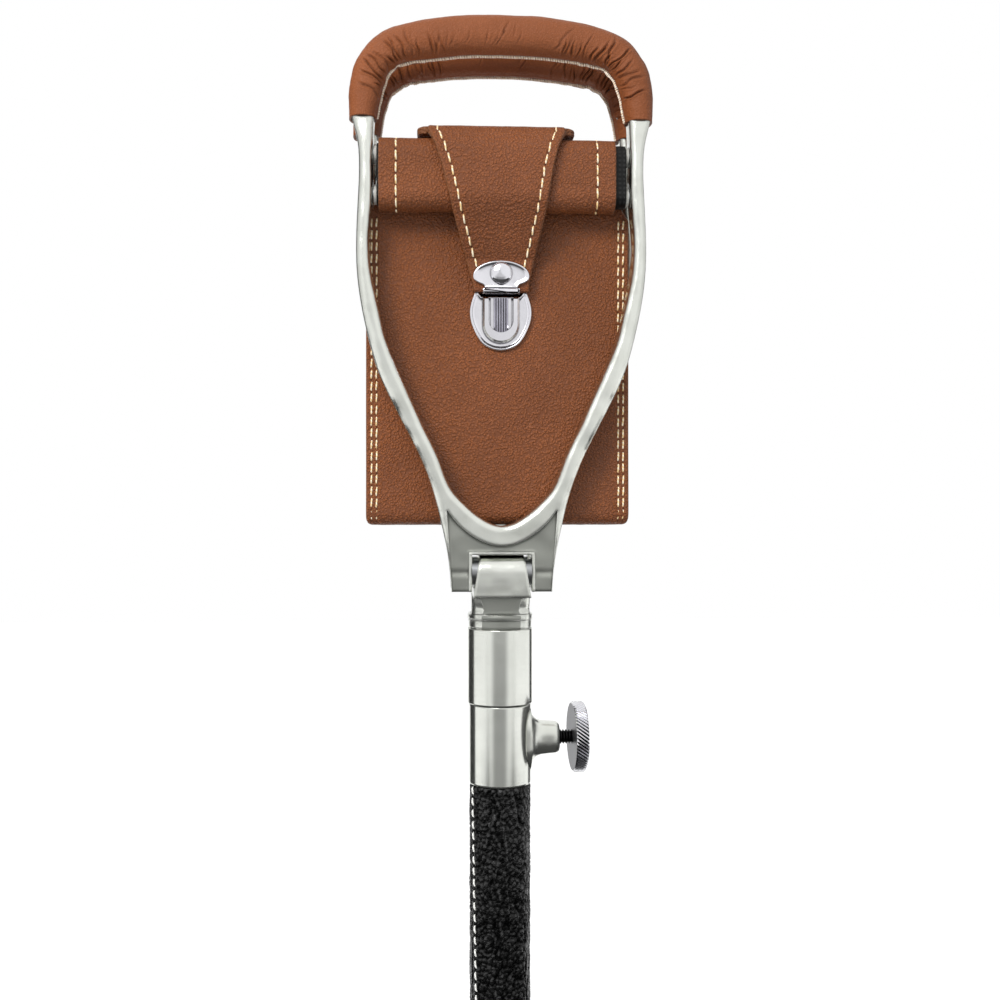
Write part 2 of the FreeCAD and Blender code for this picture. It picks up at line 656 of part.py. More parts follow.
def moved_across(points, distance):
    """The same curve, each point moved to the curve's left by the distance, seen from the front."""
    moved = []
    for k, point in enumerate(points):
        before, after = points[max(k - 1, 0)], points[min(k + 1, len(points) - 1)]
        along = V(after.x - before.x, 0, after.z - before.z).normalize()
        moved.append(point + V(-along.z, 0, along.x) * distance)
    return moved


def grip_bar():
    """Metal bar inside the grip, as deep into the leather all round."""
    outer, inner = grip_outline()
    outer = moved_across(outer, -GRIP_LEATHER)
    inner = moved_across(inner, GRIP_LEATHER)
    for end in (outer[0], outer[-1], inner[0], inner[-1]):
        end.z = PIVOT_Z + ARM_TOP
    return arch(outer, inner, GRIP_BAR_DEPTH)


def grip_leather():
    outer, inner = grip_outline()
    depth = GRIP_BAR_DEPTH + 2 * GRIP_SIDE_LEATHER
    solid = rounded(arch(outer, inner, depth), GRIP_ROUND, face_curve(depth / 2))
    return solid.cut(grip_bar())


def rod_sockets():
    """Blind holes in the arms' inner sides for the two cross rods."""
    holes = []
    for height in (UPPER_ROD_HEIGHT, LOWER_ROD_HEIGHT):
        holes.append(rod_x(ROD_RADIUS, -rod_half_length(), rod_half_length(), 0, PIVOT_Z + height))
    return holes


def arm_inner_half(height):
    """Half width between the arms at a height above the pins."""
    for below, above in zip(ARM_SHAPE, ARM_SHAPE[1:]):
        if below[0] <= height <= above[0]:
            share = (height - below[0]) / (above[0] - below[0])
            inset = below[1] + below[2] + share * (above[1] + above[2] - below[1] - below[2])
            return ARM_HALF_WIDTH - inset


def rod_half_length():
    return arm_inner_half(LOWER_ROD_HEIGHT) + ROD_SEAT


def webbing_half_width():
    return arm_inner_half(UPPER_ROD_HEIGHT) - BUSH_THICKNESS - SOFT_GAP


def roll_half_width():
    return webbing_half_width() - WEBBING_SHOWS


def frame_casting():
    """One cast frame with its middle plane on Y = 0."""
    half = FRAME_DEPTH / 2
    body = prism(frame_outline(), V(0, FRAME_DEPTH, 0))
    body.translate(V(0, -half, 0))
    body = rounded(body, FRAME_ROUND, face_curve(half))
    for out in (-1, 1):
        for margin, depth in ((LIP_WIDTH, WEB_RECESS), (0.0, LIP_RECESS)):
            y0, y1 = sorted((out * (half + OVERCUT), out * (half - depth)))
            pocket = web_pocket(y0, y1)
            body = body.cut(pocket.cut(slot_block(margin, y0 - OVERCUT, y1 + OVERCUT)))
    body = body.cut(slot_block(0, -half - OVERCUT, half + OVERCUT))
    reach = EAR_HALF_WIDTH + OVERCUT
    ear_bore = rod_x(PIVOT_PIN_RADIUS + RUN_GAP, -reach, reach, 0, PIVOT_Z)
    body = body.cut([ear_bore] + rod_sockets())
    return body.fuse(grip_bar()).removeSplitter()


def cross_rods():
    return Part.makeCompound(rod_sockets())


def stadium(radius, x0, x1):
    """Solid round both cross rods at a given distance from their axes."""
    low, high = PIVOT_Z + LOWER_ROD_HEIGHT, PIVOT_Z + UPPER_ROD_HEIGHT
    a, b = V(x0, radius, low), V(x0, radius, high)
    c, d = V(x0, -radius, high), V(x0, -radius, low)
    top = Part.Arc(b, V(x0, 0, high + radius), c).toShape()
    bottom = Part.Arc(d, V(x0, 0, low - radius), a).toShape()
    return prism([line(a, b), top, line(c, d), bottom], V(x1 - x0, 0, 0))


def rod_webbing():
    """Black webbing wound round the rods, a little wider than the leather roll."""
    wound = stadium(ROD_RADIUS + WEBBING_THICKNESS, -webbing_half_width(), webbing_half_width())
    return wound.cut(rod_sockets())


def rod_roll():
    """Leather roll sewn round the webbing."""
    half = roll_half_width()
    return stadium(ROLL_RADIUS, -half, half).cut(stadium(ROD_RADIUS + WEBBING_THICKNESS, -half, half))


def rod_bushes():
    """Small bushes on the rods between the webbing and the arms."""
    solids = []
    start = webbing_half_width()
    for height in (UPPER_ROD_HEIGHT, LOWER_ROD_HEIGHT):
        for side in (-1, 1):
            x0, x1 = sorted((side * start, side * (start + BUSH_THICKNESS)))
            bush = rod_x(BUSH_RADIUS, x0, x1, 0, PIVOT_Z + height)
            solids.append(bush.cut(rod_x(ROD_RADIUS, x0, x1, 0, PIVOT_Z + height)))
    return Part.makeCompound(solids)


# Seat sling

def sling_centre_z():
    return PIVOT_Z + SLING_FOLD_HEIGHT + SLING_OUTER_Y


def sling_fold():
    """Round bottom of the sling, where the two panels turn into each other."""
    z = sling_centre_z()
    outer = rod_x(SLING_OUTER_Y, -SLING_HALF_WIDTH, SLING_HALF_WIDTH, 0, z)
    inner = rod_x(SLING_OUTER_Y - SLING_THICKNESS, -SLING_HALF_WIDTH, SLING_HALF_WIDTH, 0, z)
    upper = box(-SLING_HALF_WIDTH, SLING_HALF_WIDTH, -SLING_OUTER_Y, SLING_OUTER_Y, z, z + SLING_OUTER_Y)
    return outer.cut([inner, upper])


def front_panel():
    return box(-SLING_HALF_WIDTH, SLING_HALF_WIDTH, -SLING_OUTER_Y, SLING_THICKNESS - SLING_OUTER_Y,
               sling_centre_z(), PIVOT_Z + LOWER_ROD_HEIGHT)


# Closing strap, as a band whose centre line runs in the YZ plane

def strap_lean():
    """Angle from the vertical of the strap's straight run, from the front roll to the hasp's top."""
    across = PIVOT_SPREAD - STRAP_TIP_Y
    down = LOWER_ROD_HEIGHT - HASP_TOP - STRAP_TIP_STRAIGHT
    return math.atan2(across, down) + math.asin(STRAP_BEND_RADIUS / math.hypot(across, down))


def strap_places():
    """Named points of the strap's centre line, as (y, z)."""
    low, high = PIVOT_Z + LOWER_ROD_HEIGHT, PIVOT_Z + UPPER_ROD_HEIGHT
    r = STRAP_BEND_RADIUS
    lean = strap_lean()
    places = {
        "anchor_end": (PIVOT_SPREAD + r, high - ANCHOR_DROP),
        "rear_side": (PIVOT_SPREAD + r, high),
        "rear_top": (PIVOT_SPREAD, high + r),
        "front_top": (-PIVOT_SPREAD, high + r),
        "front_side": (-PIVOT_SPREAD - r, high),
        "lower_side": (-PIVOT_SPREAD - r, low),
        "leave": (-PIVOT_SPREAD - r * math.cos(lean), low - r * math.sin(lean)),
    }
    y, z = places["leave"]
    run = (-STRAP_TIP_Y - y) / math.sin(lean)
    places["land"] = (-STRAP_TIP_Y, z - run * math.cos(lean))
    places["tip"] = (-STRAP_TIP_Y, PIVOT_Z + STRAP_TIP_HEIGHT)
    return places


def band(y0, z0, y1, z1):
    """Flat band of the strap's thickness between two points of the centre line."""
    length = math.hypot(y1 - y0, z1 - z0)
    ny, nz = -(z1 - z0) / length, (y1 - y0) / length
    t = STRAP_THICKNESS / 2
    x = -STRAP_HALF_WIDTH_REAR
    points = [V(x, y0 + ny * t, z0 + nz * t), V(x, y1 + ny * t, z1 + nz * t),
              V(x, y1 - ny * t, z1 - nz * t), V(x, y0 - ny * t, z0 - nz * t)]
    return polygon(points, V(2 * STRAP_HALF_WIDTH_REAR, 0, 0))


def bend(y, z, from_deg, to_deg):
    """Curved band of the strap round a rod, between two angles seen along +X."""
    half = STRAP_HALF_WIDTH_REAR
    r = STRAP_BEND_RADIUS
    t = STRAP_THICKNESS / 2
    ends = []
    for radius in (r + t, r - t):
        arc = []
        for degree in (from_deg, (from_deg + to_deg) / 2, to_deg):
            a = math.radians(degree)
            arc.append(V(-half, y + radius * math.cos(a), z + radius * math.sin(a)))
        ends.append(arc)
    outer, inner = ends
    edges = [Part.Arc(*outer).toShape(), line(outer[-1], inner[-1]),
             Part.Arc(*inner[::-1]).toShape(), line(inner[0], outer[0])]
    return prism(edges, V(2 * half, 0, 0))


def strap_taper_front():
    """Front view of the strap below its bend: it narrows to the clasp."""
    places = strap_places()
    top = places["front_top"][1] + STRAP_THICKNESS
    tip = places["tip"][1]
    a, b = STRAP_HALF_WIDTH_BEND, STRAP_HALF_WIDTH_TIP
    y = -PIVOT_SPREAD - 2 * STRAP_BEND_RADIUS
    return polygon([V(-a, y, top), V(a, y, top), V(b, y, tip), V(-b, y, tip)], V(0, -y, 0))


def strap_taper_top():
    """Top view of the strap over the rolls."""
    places = strap_places()
    z = places["lower_side"][1]
    a, b = STRAP_HALF_WIDTH_REAR, STRAP_HALF_WIDTH_BEND
    rear, front = PIVOT_SPREAD, -PIVOT_SPREAD
    return polygon([V(-a, rear, z), V(a, rear, z), V(b, front, z), V(-b, front, z)],
                   V(0, 0, ROD_SPACING + 2 * STRAP_BEND_RADIUS))


def strap_anchor():
    """End of the strap, sewn round the rear roll."""
    p = strap_places()
    arc = bend(PIVOT_SPREAD, PIVOT_Z + UPPER_ROD_HEIGHT, 0, 90)
    return band(*p["anchor_end"], *p["rear_side"]).fuse(arc).removeSplitter()


def strap_bridge():
    """Length of the strap that crosses from the rear roll to the front roll."""
    p = strap_places()
    return band(*p["rear_top"], *p["front_top"]).common(strap_taper_top())


def strap_flap():
    """Bend over the front roll and the length that lies against it."""
    p = strap_places()
    arc = bend(-PIVOT_SPREAD, PIVOT_Z + UPPER_ROD_HEIGHT, 90, 180)
    run = band(*p["front_side"], *p["lower_side"])
    return arc.fuse(run).common(strap_taper_front()).removeSplitter()


def strap_end():
    """Free end of the strap, which carries the hasp to the clasp."""
    p = strap_places()
    arc = bend(-PIVOT_SPREAD, PIVOT_Z + LOWER_ROD_HEIGHT, 180, 180 + math.degrees(strap_lean()))
    lean = band(*p["leave"], *p["land"])
    tip = band(*p["land"], *p["tip"])
    return arc.fuse([lean, tip]).common(strap_taper_front()).removeSplitter()


# Clasp, modelled on the front panel

def front_outline(points, y, thickness):
    """Plate whose front view is the polygon of (half width, height) points, both sides."""
    right = [V(w, y, PIVOT_Z + h) for w, h in points]
    left = [V(-p.x, y, p.z) for p in right[::-1] if p.x > 1e-6]
    return polygon(right + left, V(0, -thickness, 0))


def clasp_plate():
    """Shield-shaped plate with two slim raised bars."""
    y = -SLING_OUTER_Y
    height = CLASP_TOP - CLASP_BOTTOM
    right = [V(CLASP_HALF_WIDTH - inset, y, PIVOT_Z + CLASP_TOP - share * height)
             for inset, share in SHIELD_SHAPE]
    left = [V(-p.x, y, p.z) for p in right[::-1]]
    low = V(0, y, PIVOT_Z + CLASP_BOTTOM)
    edges = [line(right[0], right[1]), smooth(right[1:] + [low] + left[:-1]), line(left[-2], left[-1]),
             line(left[-1], right[0])]
    plate = prism(edges, V(0, -CLASP_PLATE, 0))
    bars = []
    bar_half = CASE_HALF_WIDTH + BAR_GAP
    for side in (-1, 1):
        x0, x1 = sorted((side * bar_half, side * (bar_half + BAR_WIDTH)))
        bars.append(box(x0, x1, -CLASP_FACE_Y - BAR_RISE, -CLASP_FACE_Y,
                        PIVOT_Z + CASE_BOTTOM + BAR_FOOT_RISE, PIVOT_Z + CASE_TOP - BAR_TOP_DROP))
    return plate.fuse(bars).removeSplitter()


def round_ended(half, top, bottom, y, thickness):
    """Plate with straight sides and a half-round lower end."""
    centre = PIVOT_Z + bottom + half
    a, b = V(-half, y, PIVOT_Z + top), V(half, y, PIVOT_Z + top)
    c, d = V(half, y, centre), V(-half, y, centre)
    end = Part.Arc(c, V(0, y, PIVOT_Z + bottom), d).toShape()
    return prism([line(a, b), line(b, c), end, line(d, a)], V(0, -thickness, 0))


def slider_floor():
    """Height of the lower edge of the slider at rest."""
    return CASE_BOTTOM + CASE_FLOOR + SOFT_GAP


def clasp_case():
    """Raised U-shaped rim of the lock, with a tunnel for the slider in its foot."""
    y = -CLASP_FACE_Y
    half = CASE_HALF_WIDTH
    outer = round_ended(half, CASE_TOP, CASE_BOTTOM, y, CASE_HEIGHT)
    outer = outer.makeChamfer(CASE_BEVEL, [e for e in outer.Edges if in_plane_y(e, y - CASE_HEIGHT)])
    floor = CASE_BOTTOM + CASE_FLOOR
    hollow = round_ended(half - CASE_BAR, CASE_TOP + OVERCUT, floor, y + OVERCUT,
                         CASE_HEIGHT + 2 * OVERCUT)
    tunnel_half = SLIDER_HALF_WIDTH + 2 * RUN_GAP
    low = slider_floor() - SLIDER_TRAVEL - SOFT_GAP
    tunnel = box(-tunnel_half, tunnel_half, y - SLIDER_HEIGHT - 2 * RUN_GAP, y,
                 PIVOT_Z + low, PIVOT_Z + floor + SLIDER_HALF_WIDTH)
    return outer.cut([hollow, tunnel])


def clasp_slider():
    """Ribbed slide that releases the hasp."""
    y = -CLASP_FACE_Y - RUN_GAP
    low, top = PIVOT_Z + slider_floor(), PIVOT_Z + CASE_TOP - SOFT_GAP
    half = SLIDER_HALF_WIDTH
    base = SLIDER_HEIGHT / 2
    body = box(-half, half, y - base, y, low, top)
    pitch = 2 * (half - SLIDER_CORNER / 2) / SLIDER_RIBS
    ribs = []
    for k in range(SLIDER_RIBS):
        x = (k + 0.5 - SLIDER_RIBS / 2) * pitch
        ribs.append(polygon([V(x - pitch / 2, y - base, low), V(x, y - SLIDER_HEIGHT, low),
                             V(x + pitch / 2, y - base, low)], V(0, 0, top - low)))
    body = body.fuse(ribs).removeSplitter()
    corners = []
    for side in (-1, 1):
        edge, front, under = side * (half + OVERCUT), y + OVERCUT, low - OVERCUT
        corners.append(polygon([
            V(edge, front, under), V(side * (half - SLIDER_CORNER - OVERCUT), front, under),
            V(edge, front, low + SLIDER_CORNER + OVERCUT)], V(0, -SLIDER_HEIGHT - 2 * OVERCUT, 0)))
    return body.cut(corners)


def clasp_spring():
    """Bent leaf spring in the tunnel, below the slider."""
    y = -CLASP_FACE_Y
    top = PIVOT_Z + slider_floor() - RUN_GAP
    low = top - SLIDER_TRAVEL - SOFT_GAP + RUN_GAP
    span = top - low
    bent = y - SPRING_REACH
    half = SLIDER_HALF_WIDTH - SLIDER_CORNER
    points = [(y, low), (bent, low + span / 3), (y - SPRING_REACH / 4, low + span * 2 / 3), (bent, top)]
    points += [(a - SPRING_THICKNESS, b) for a, b in points[::-1]]
    return polygon([V(-half, a, b) for a, b in points], V(2 * half, 0, 0))


def clasp_backing():
    """Plate behind the leather that the clasp is riveted to."""
    y = SLING_THICKNESS - SLING_OUTER_Y + BACKING_THICKNESS
    top, low = CLASP_TOP - BACKING_MARGIN, CLASP_BOTTOM + BACKING_MARGIN
    half = BACKING_HALF_WIDTH
    points = [(half - BACKING_CORNER, top), (half, top - BACKING_CORNER), (half, (top + low) / 2),
              (half / 2, low)]
    return front_outline(points, y, BACKING_THICKNESS)


def hasp_plate():
    """Chromed hasp over the strap's end: two lobes, a neck and a lip below."""
    y = -STRAP_TIP_Y - STRAP_THICKNESS / 2
    top = PIVOT_Z + HASP_TOP
    lip_top = PIVOT_Z + STRAP_TIP_HEIGHT + HASP_LIP_LAP
    right = [V(0, y, top - HASP_DIP)]
    right += [V(HASP_HALF_WIDTH - inset, y, top - drop) for inset, drop in HASP_SHAPE]
    right += [V(HASP_NECK_HALF_WIDTH, y, lip_top + HASP_NECK_HEIGHT)]
    left = [V(-p.x, y, p.z) for p in right[1:][::-1]]
    neck_right = V(HASP_NECK_HALF_WIDTH, y, lip_top)
    neck_left = V(-HASP_NECK_HALF_WIDTH, y, lip_top)
    edges = [smooth(left + right), line(right[-1], neck_right), line(neck_right, neck_left),
             line(neck_left, left[0])]
    plate = prism(edges, V(0, -HASP_PLATE, 0))
    lip = box(-HASP_LIP_HALF_WIDTH, HASP_LIP_HALF_WIDTH, y - HASP_PLATE - HASP_LIP_RISE, y,
              lip_top - HASP_LIP_HEIGHT, lip_top)
    return plate.fuse(lip).removeSplitter()


def hasp_rivet():
    """Domed rivet through the hasp and the strap's end."""
    y = -STRAP_TIP_Y - STRAP_THICKNESS / 2 - HASP_PLATE
    z = PIVOT_Z + HASP_RIVET_HEIGHT
    ball = (HASP_RIVET_RADIUS ** 2 + HASP_RIVET_RISE ** 2) / (2 * HASP_RIVET_RISE)
    dome = Part.makeSphere(ball, V(0, y - HASP_RIVET_RISE + ball, z))
    cap = Part.makeCylinder(HASP_RIVET_RADIUS, HASP_RIVET_RISE, V(0, y, z), V(0, -1, 0))
    return dome.common(cap)


# Pieces in the order they are written out

def to_front(shape):
    moved = shape.copy()
    moved.translate(V(0, -PIVOT_SPREAD, 0))
    return moved


def frame_pieces():
    """Pieces that come in a front and a rear copy."""
    middle = {
        "frame": frame_casting(),
        "grip_leather": grip_leather(),
        "cross_rods": cross_rods(),
        "rod_webbing": rod_webbing(),
        "rod_roll": rod_roll(),
        "rod_bushes": rod_bushes(),
    }
    pieces = {}
    for name, shape in middle.items():
        front = to_front(shape)
        pieces["front_" + name] = front
        pieces["rear_" + name] = mirrored(front)
    panel = front_panel()
    pieces["front_panel"] = panel
    pieces["rear_panel"] = mirrored(panel)
    return pieces


def all_pieces():
    pieces = {
        "rubber_foot": rubber_foot(),
        "foot_washer": foot_washer(),
        "spike": spike(),
        "ground_plate": ground_plate(),
        "end_socket": end_socket(),
        "outer_tube": outer_tube(),
        "tube_leather": tube_leather(),
        "collar": collar(),
        "clamp_pad": clamp_pad(),
        "screw_shank": screw_shank(),
        "knob": knob(),
        "inner_tube": inner_tube(),
        "guide_bush": guide_bush(),
        "head_ferrule": head_ferrule(),
        "head_cross_pin": cross_pin(),
        "head_casting": head_casting(),
        "pivot_pins": pivot_pins(),
        "pivot_washers": pivot_washers(),
        "sling_fold": sling_fold(),
        "strap_anchor": strap_anchor(),
        "strap_bridge": strap_bridge(),
        "strap_flap": strap_flap(),
        "strap_end": strap_end(),
        "clasp_plate": clasp_plate(),
        "clasp_case": clasp_case(),
        "clasp_slider": clasp_slider(),
        "clasp_spring": clasp_spring(),
        "clasp_backing": clasp_backing(),
        "hasp_plate": hasp_plate(),
        "hasp_rivet": hasp_rivet(),
    }
    pieces.update(frame_pieces())
    return pieces


os.makedirs("parts", exist_ok=True)
for name, shape in all_pieces().items():
    shape.exportStep("parts/" + name + ".step")
    print(name, "solids", len(shape.Solids), "volume", round(shape.Volume, 1), "valid", shape.isValid())
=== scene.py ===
"""Walking stick seat, folded: the finished look of the part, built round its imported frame.

Every length below is in millimetres until a mesh or a lamp is made from it.
"""

import logging
import math
from collections.abc import Callable, Sequence
from dataclasses import dataclass, field
from enum import Enum

import bpy
import numpy as np
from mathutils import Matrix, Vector, noise


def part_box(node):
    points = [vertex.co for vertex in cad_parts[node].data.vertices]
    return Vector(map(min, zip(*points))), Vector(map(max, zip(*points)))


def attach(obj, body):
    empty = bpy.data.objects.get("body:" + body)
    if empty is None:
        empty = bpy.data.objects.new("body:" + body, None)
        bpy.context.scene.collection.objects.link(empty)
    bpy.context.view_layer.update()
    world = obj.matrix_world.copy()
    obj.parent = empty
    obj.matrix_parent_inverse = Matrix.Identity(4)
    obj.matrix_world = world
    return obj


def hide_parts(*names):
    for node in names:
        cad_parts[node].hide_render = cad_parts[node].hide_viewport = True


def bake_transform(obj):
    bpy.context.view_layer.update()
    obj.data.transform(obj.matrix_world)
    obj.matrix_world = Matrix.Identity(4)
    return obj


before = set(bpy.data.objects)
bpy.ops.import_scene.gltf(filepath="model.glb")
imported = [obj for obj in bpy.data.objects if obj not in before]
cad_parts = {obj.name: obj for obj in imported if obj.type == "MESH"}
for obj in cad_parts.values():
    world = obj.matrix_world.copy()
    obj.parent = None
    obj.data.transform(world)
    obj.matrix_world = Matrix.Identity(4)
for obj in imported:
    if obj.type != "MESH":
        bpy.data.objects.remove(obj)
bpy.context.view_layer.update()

LOG = logging.getLogger("stick_seat")
# Metres in a millimetre
MM = 0.001
Faces = list[list[int]]
Array = np.ndarray
Material = bpy.types.Material
Piece = bpy.types.Object
Tree = bpy.types.NodeTree
Socket = bpy.types.NodeSocket
Pair = tuple[float, float]
Triple = tuple[float, float, float]
Pairs = Sequence[Pair]
Triples = Sequence[Triple]


class Side(Enum):
    """The two halves of the folded seat."""

    FRONT = -1
    REAR = 1

    @property
    def word(self) -> str:
        """Name of the side in the frame's node names."""
        return self.name.lower()


# Finishes


def linear(code: str) -> tuple[float, float, float, float]:
    """Turns an sRGB hex colour into linear light.

    Args:
        code: Colour as #rrggbb.

    Returns:
        Red, green, blue and alpha.
    """
    shares = [int(code[k:k + 2], 16) / 255 for k in (1, 3, 5)]
    bright = [s / 12.92 if s <= 0.04045 else ((s + 0.055) / 1.055) ** 2.4 for s in shares]
    return (*bright, 1.0)


def set_inputs(node: bpy.types.Node, inputs: dict) -> None:
    """Sets or links sockets of a shader node.

    Args:
        node: The node.
        inputs: Socket name or number, and the value, the socket or the node whose first output feeds it.
    """
    for name, value in inputs.items():
        if isinstance(value, bpy.types.Node):
            value = value.outputs[0]
        if isinstance(value, Socket):
            node.id_data.links.new(value, node.inputs[name])
        else:
            node.inputs[name].default_value = value


def add_node(tree: Tree, kind: str, inputs: dict | None = None, **settings: object) -> bpy.types.Node:
    """Adds one shader node with its settings and links.

    Args:
        tree: Node tree that gets the node.
        kind: Node type without its ShaderNode prefix.
        inputs: What sets or feeds its sockets, as for set_inputs.
        **settings: Properties of the node.

    Returns:
        The new node.
    """
    node = tree.nodes.new("ShaderNode" + kind)
    for name, value in settings.items():
        setattr(node, name, value)
    set_inputs(node, inputs or {})
    return node


def new_material(name: str) -> tuple[Material, Tree, bpy.types.Node]:
    """Makes an empty material with its main shader.

    Args:
        name: Name of the material.

    Returns:
        The material, its node tree and its Principled shader.
    """
    material = bpy.data.materials.new(name)
    material.use_nodes = True
    tree = material.node_tree
    return material, tree, tree.nodes["Principled BSDF"]


def clouded(tree: Tree, place: Socket, size: float, detail: float,
            share: Triple, codes: tuple[str, str]) -> Socket:
    """Adds a colour with soft clouds of a second one.

    Args:
        tree: Node tree of the material.
        place: Object coordinates.
        size: Width of a cloud in millimetres.
        detail: Levels of finer clouds.
        share: Noise at which the clouds start and are full, and how much of them shows at most.
        codes: Both colours.

    Returns:
        The colour.
    """
    start, full, most = share
    noisy = add_node(tree, "TexNoise", {"Vector": place, "Scale": 1000 / size, "Detail": detail})
    cloud = add_node(tree, "MapRange", {0: noisy.outputs["Fac"], 1: start, 2: full, 3: 0.0, 4: most})
    mixed = add_node(tree, "Mix", {0: cloud, 6: linear(codes[0]), 7: linear(codes[1])}, data_type="RGBA")
    return mixed.outputs[2]


@dataclass(frozen=True)
class Hide:
    """Dyed leather: pebbles with painted shade in the creases between them, a soft cloudy dye and a waxed
    sheen.
    """

    name: str
    colour: str
    cloud: str
    # Colour of the painted shade in the creases between the pebbles
    crease: str
    cut: str
    grain: float
    depth: float
    roughness: float
    cloud_size: float = 26.0
    specular: float = 0.4
    crease_shade_share: float = 0.5
    # Colour of the painted shade that the pieces mark in needle holes, wrinkles and gaps
    deep: str = "#1d0f08"
    matt_in_painted_shade: bool = False
    painted_shade_specular: float = 0.03
    # As shares of the grain: how far the pebbles are pushed about, over what width, and the pores' width
    push: float = 0.9
    push_width: float = 3.0
    pore_width: float = 1.1
    # As a share of the pebbles' height
    pore_height: float = 0.9
    # What the valleys add to the roughness, and what the crowns take off
    dull_valleys: float = 0.16
    bright_crowns: float = 0.05

    def material(self) -> Material:
        """Builds the shader: grain as bump, dye clouds, painted shade in the grain's creases and in the
        marked holes and wrinkles, and pale cut edges.

        Returns:
            The new material.
        """
        material, tree, shader = new_material(self.name)
        place = add_node(tree, "TexCoord").outputs["Object"]
        warp = add_node(tree, "TexNoise", {"Vector": place, "Scale": 1000 / (self.push_width * self.grain),
                                           "Detail": 2.0})
        moved = add_node(tree, "VectorMath",
                         {0: warp.outputs["Color"], 1: (self.push * self.grain * MM,) * 3, 2: place},
                         operation="MULTIPLY_ADD")
        cells = add_node(tree, "TexVoronoi", {"Vector": moved, "Scale": 1000 / self.grain,
                                              "Smoothness": 0.2}, feature="SMOOTH_F1")
        pebble = add_node(tree, "MapRange",
                          {0: cells.outputs["Distance"], 1: 0.15, 2: 0.75, 3: 1.0, 4: 0.0},
                          interpolation_type="SMOOTHSTEP")
        pores = add_node(tree, "TexNoise", {"Vector": place, "Scale": 1000 / (self.pore_width * self.grain),
                                            "Detail": 5.0, "Roughness": 0.65})
        height = add_node(tree, "Math", {0: pores.outputs["Fac"], 1: self.pore_height, 2: pebble},
                          operation="MULTIPLY_ADD")
        bump = add_node(tree, "Bump", {"Strength": 1.0, "Distance": self.depth * MM, "Height": height})
        dye = clouded(tree, place, self.cloud_size, 3.0, (0.35, 0.65, 1.0), (self.colour, self.cloud))
        # Painted shade: the low creases between the pebbles darken towards the crease colour
        valley = add_node(tree, "MapRange", {0: pebble, 1: 0.0, 2: 1.0, 3: self.crease_shade_share, 4: 0.0})
        crease_shaded = add_node(tree, "Mix", {0: valley, 6: dye, 7: linear(self.crease)}, data_type="RGBA")
        edge = add_node(tree, "Attribute", attribute_name="edge").outputs["Fac"]
        edged = add_node(tree, "Mix", {0: edge, 6: crease_shaded.outputs[2], 7: linear(self.cut)}, data_type="RGBA")
        # Painted shade from each piece's marks: needle holes, grip wrinkles and gaps between the cover's
        # pebbles
        painted_shade = add_node(tree, "Attribute", attribute_name="painted_shade").outputs["Fac"]
        with_painted_shade = add_node(tree, "Mix", {0: painted_shade, 6: edged.outputs[2], 7: linear(self.deep)}, data_type="RGBA")
        shine = add_node(tree, "MapRange",
                         {0: height, 1: 0.6, 2: 2.0, 3: self.roughness + self.dull_valleys,
                          4: self.roughness - self.bright_crowns})
        set_inputs(shader, {"Specular IOR Level": self.specular, "Base Color": with_painted_shade.outputs[2],
                            "Roughness": shine, "Normal": bump})
        # Painted shade in the shine too: the marked places reflect less
        if self.matt_in_painted_shade:
            gloss = add_node(tree, "MapRange", {0: painted_shade, 1: 0.0, 2: 1.0, 3: self.specular,
                                                4: self.painted_shade_specular})
            set_inputs(shader, {"Specular IOR Level": gloss})
        return material


class Working(Enum):
    """How a metal surface was worked, as the stretch of its marks along X, Y and Z."""

    CAST = (1.0, 1.0, 1.0)
    TURNED = (0.04, 0.04, 1.0)
    DRAWN = (0.03, 1.0, 1.0)


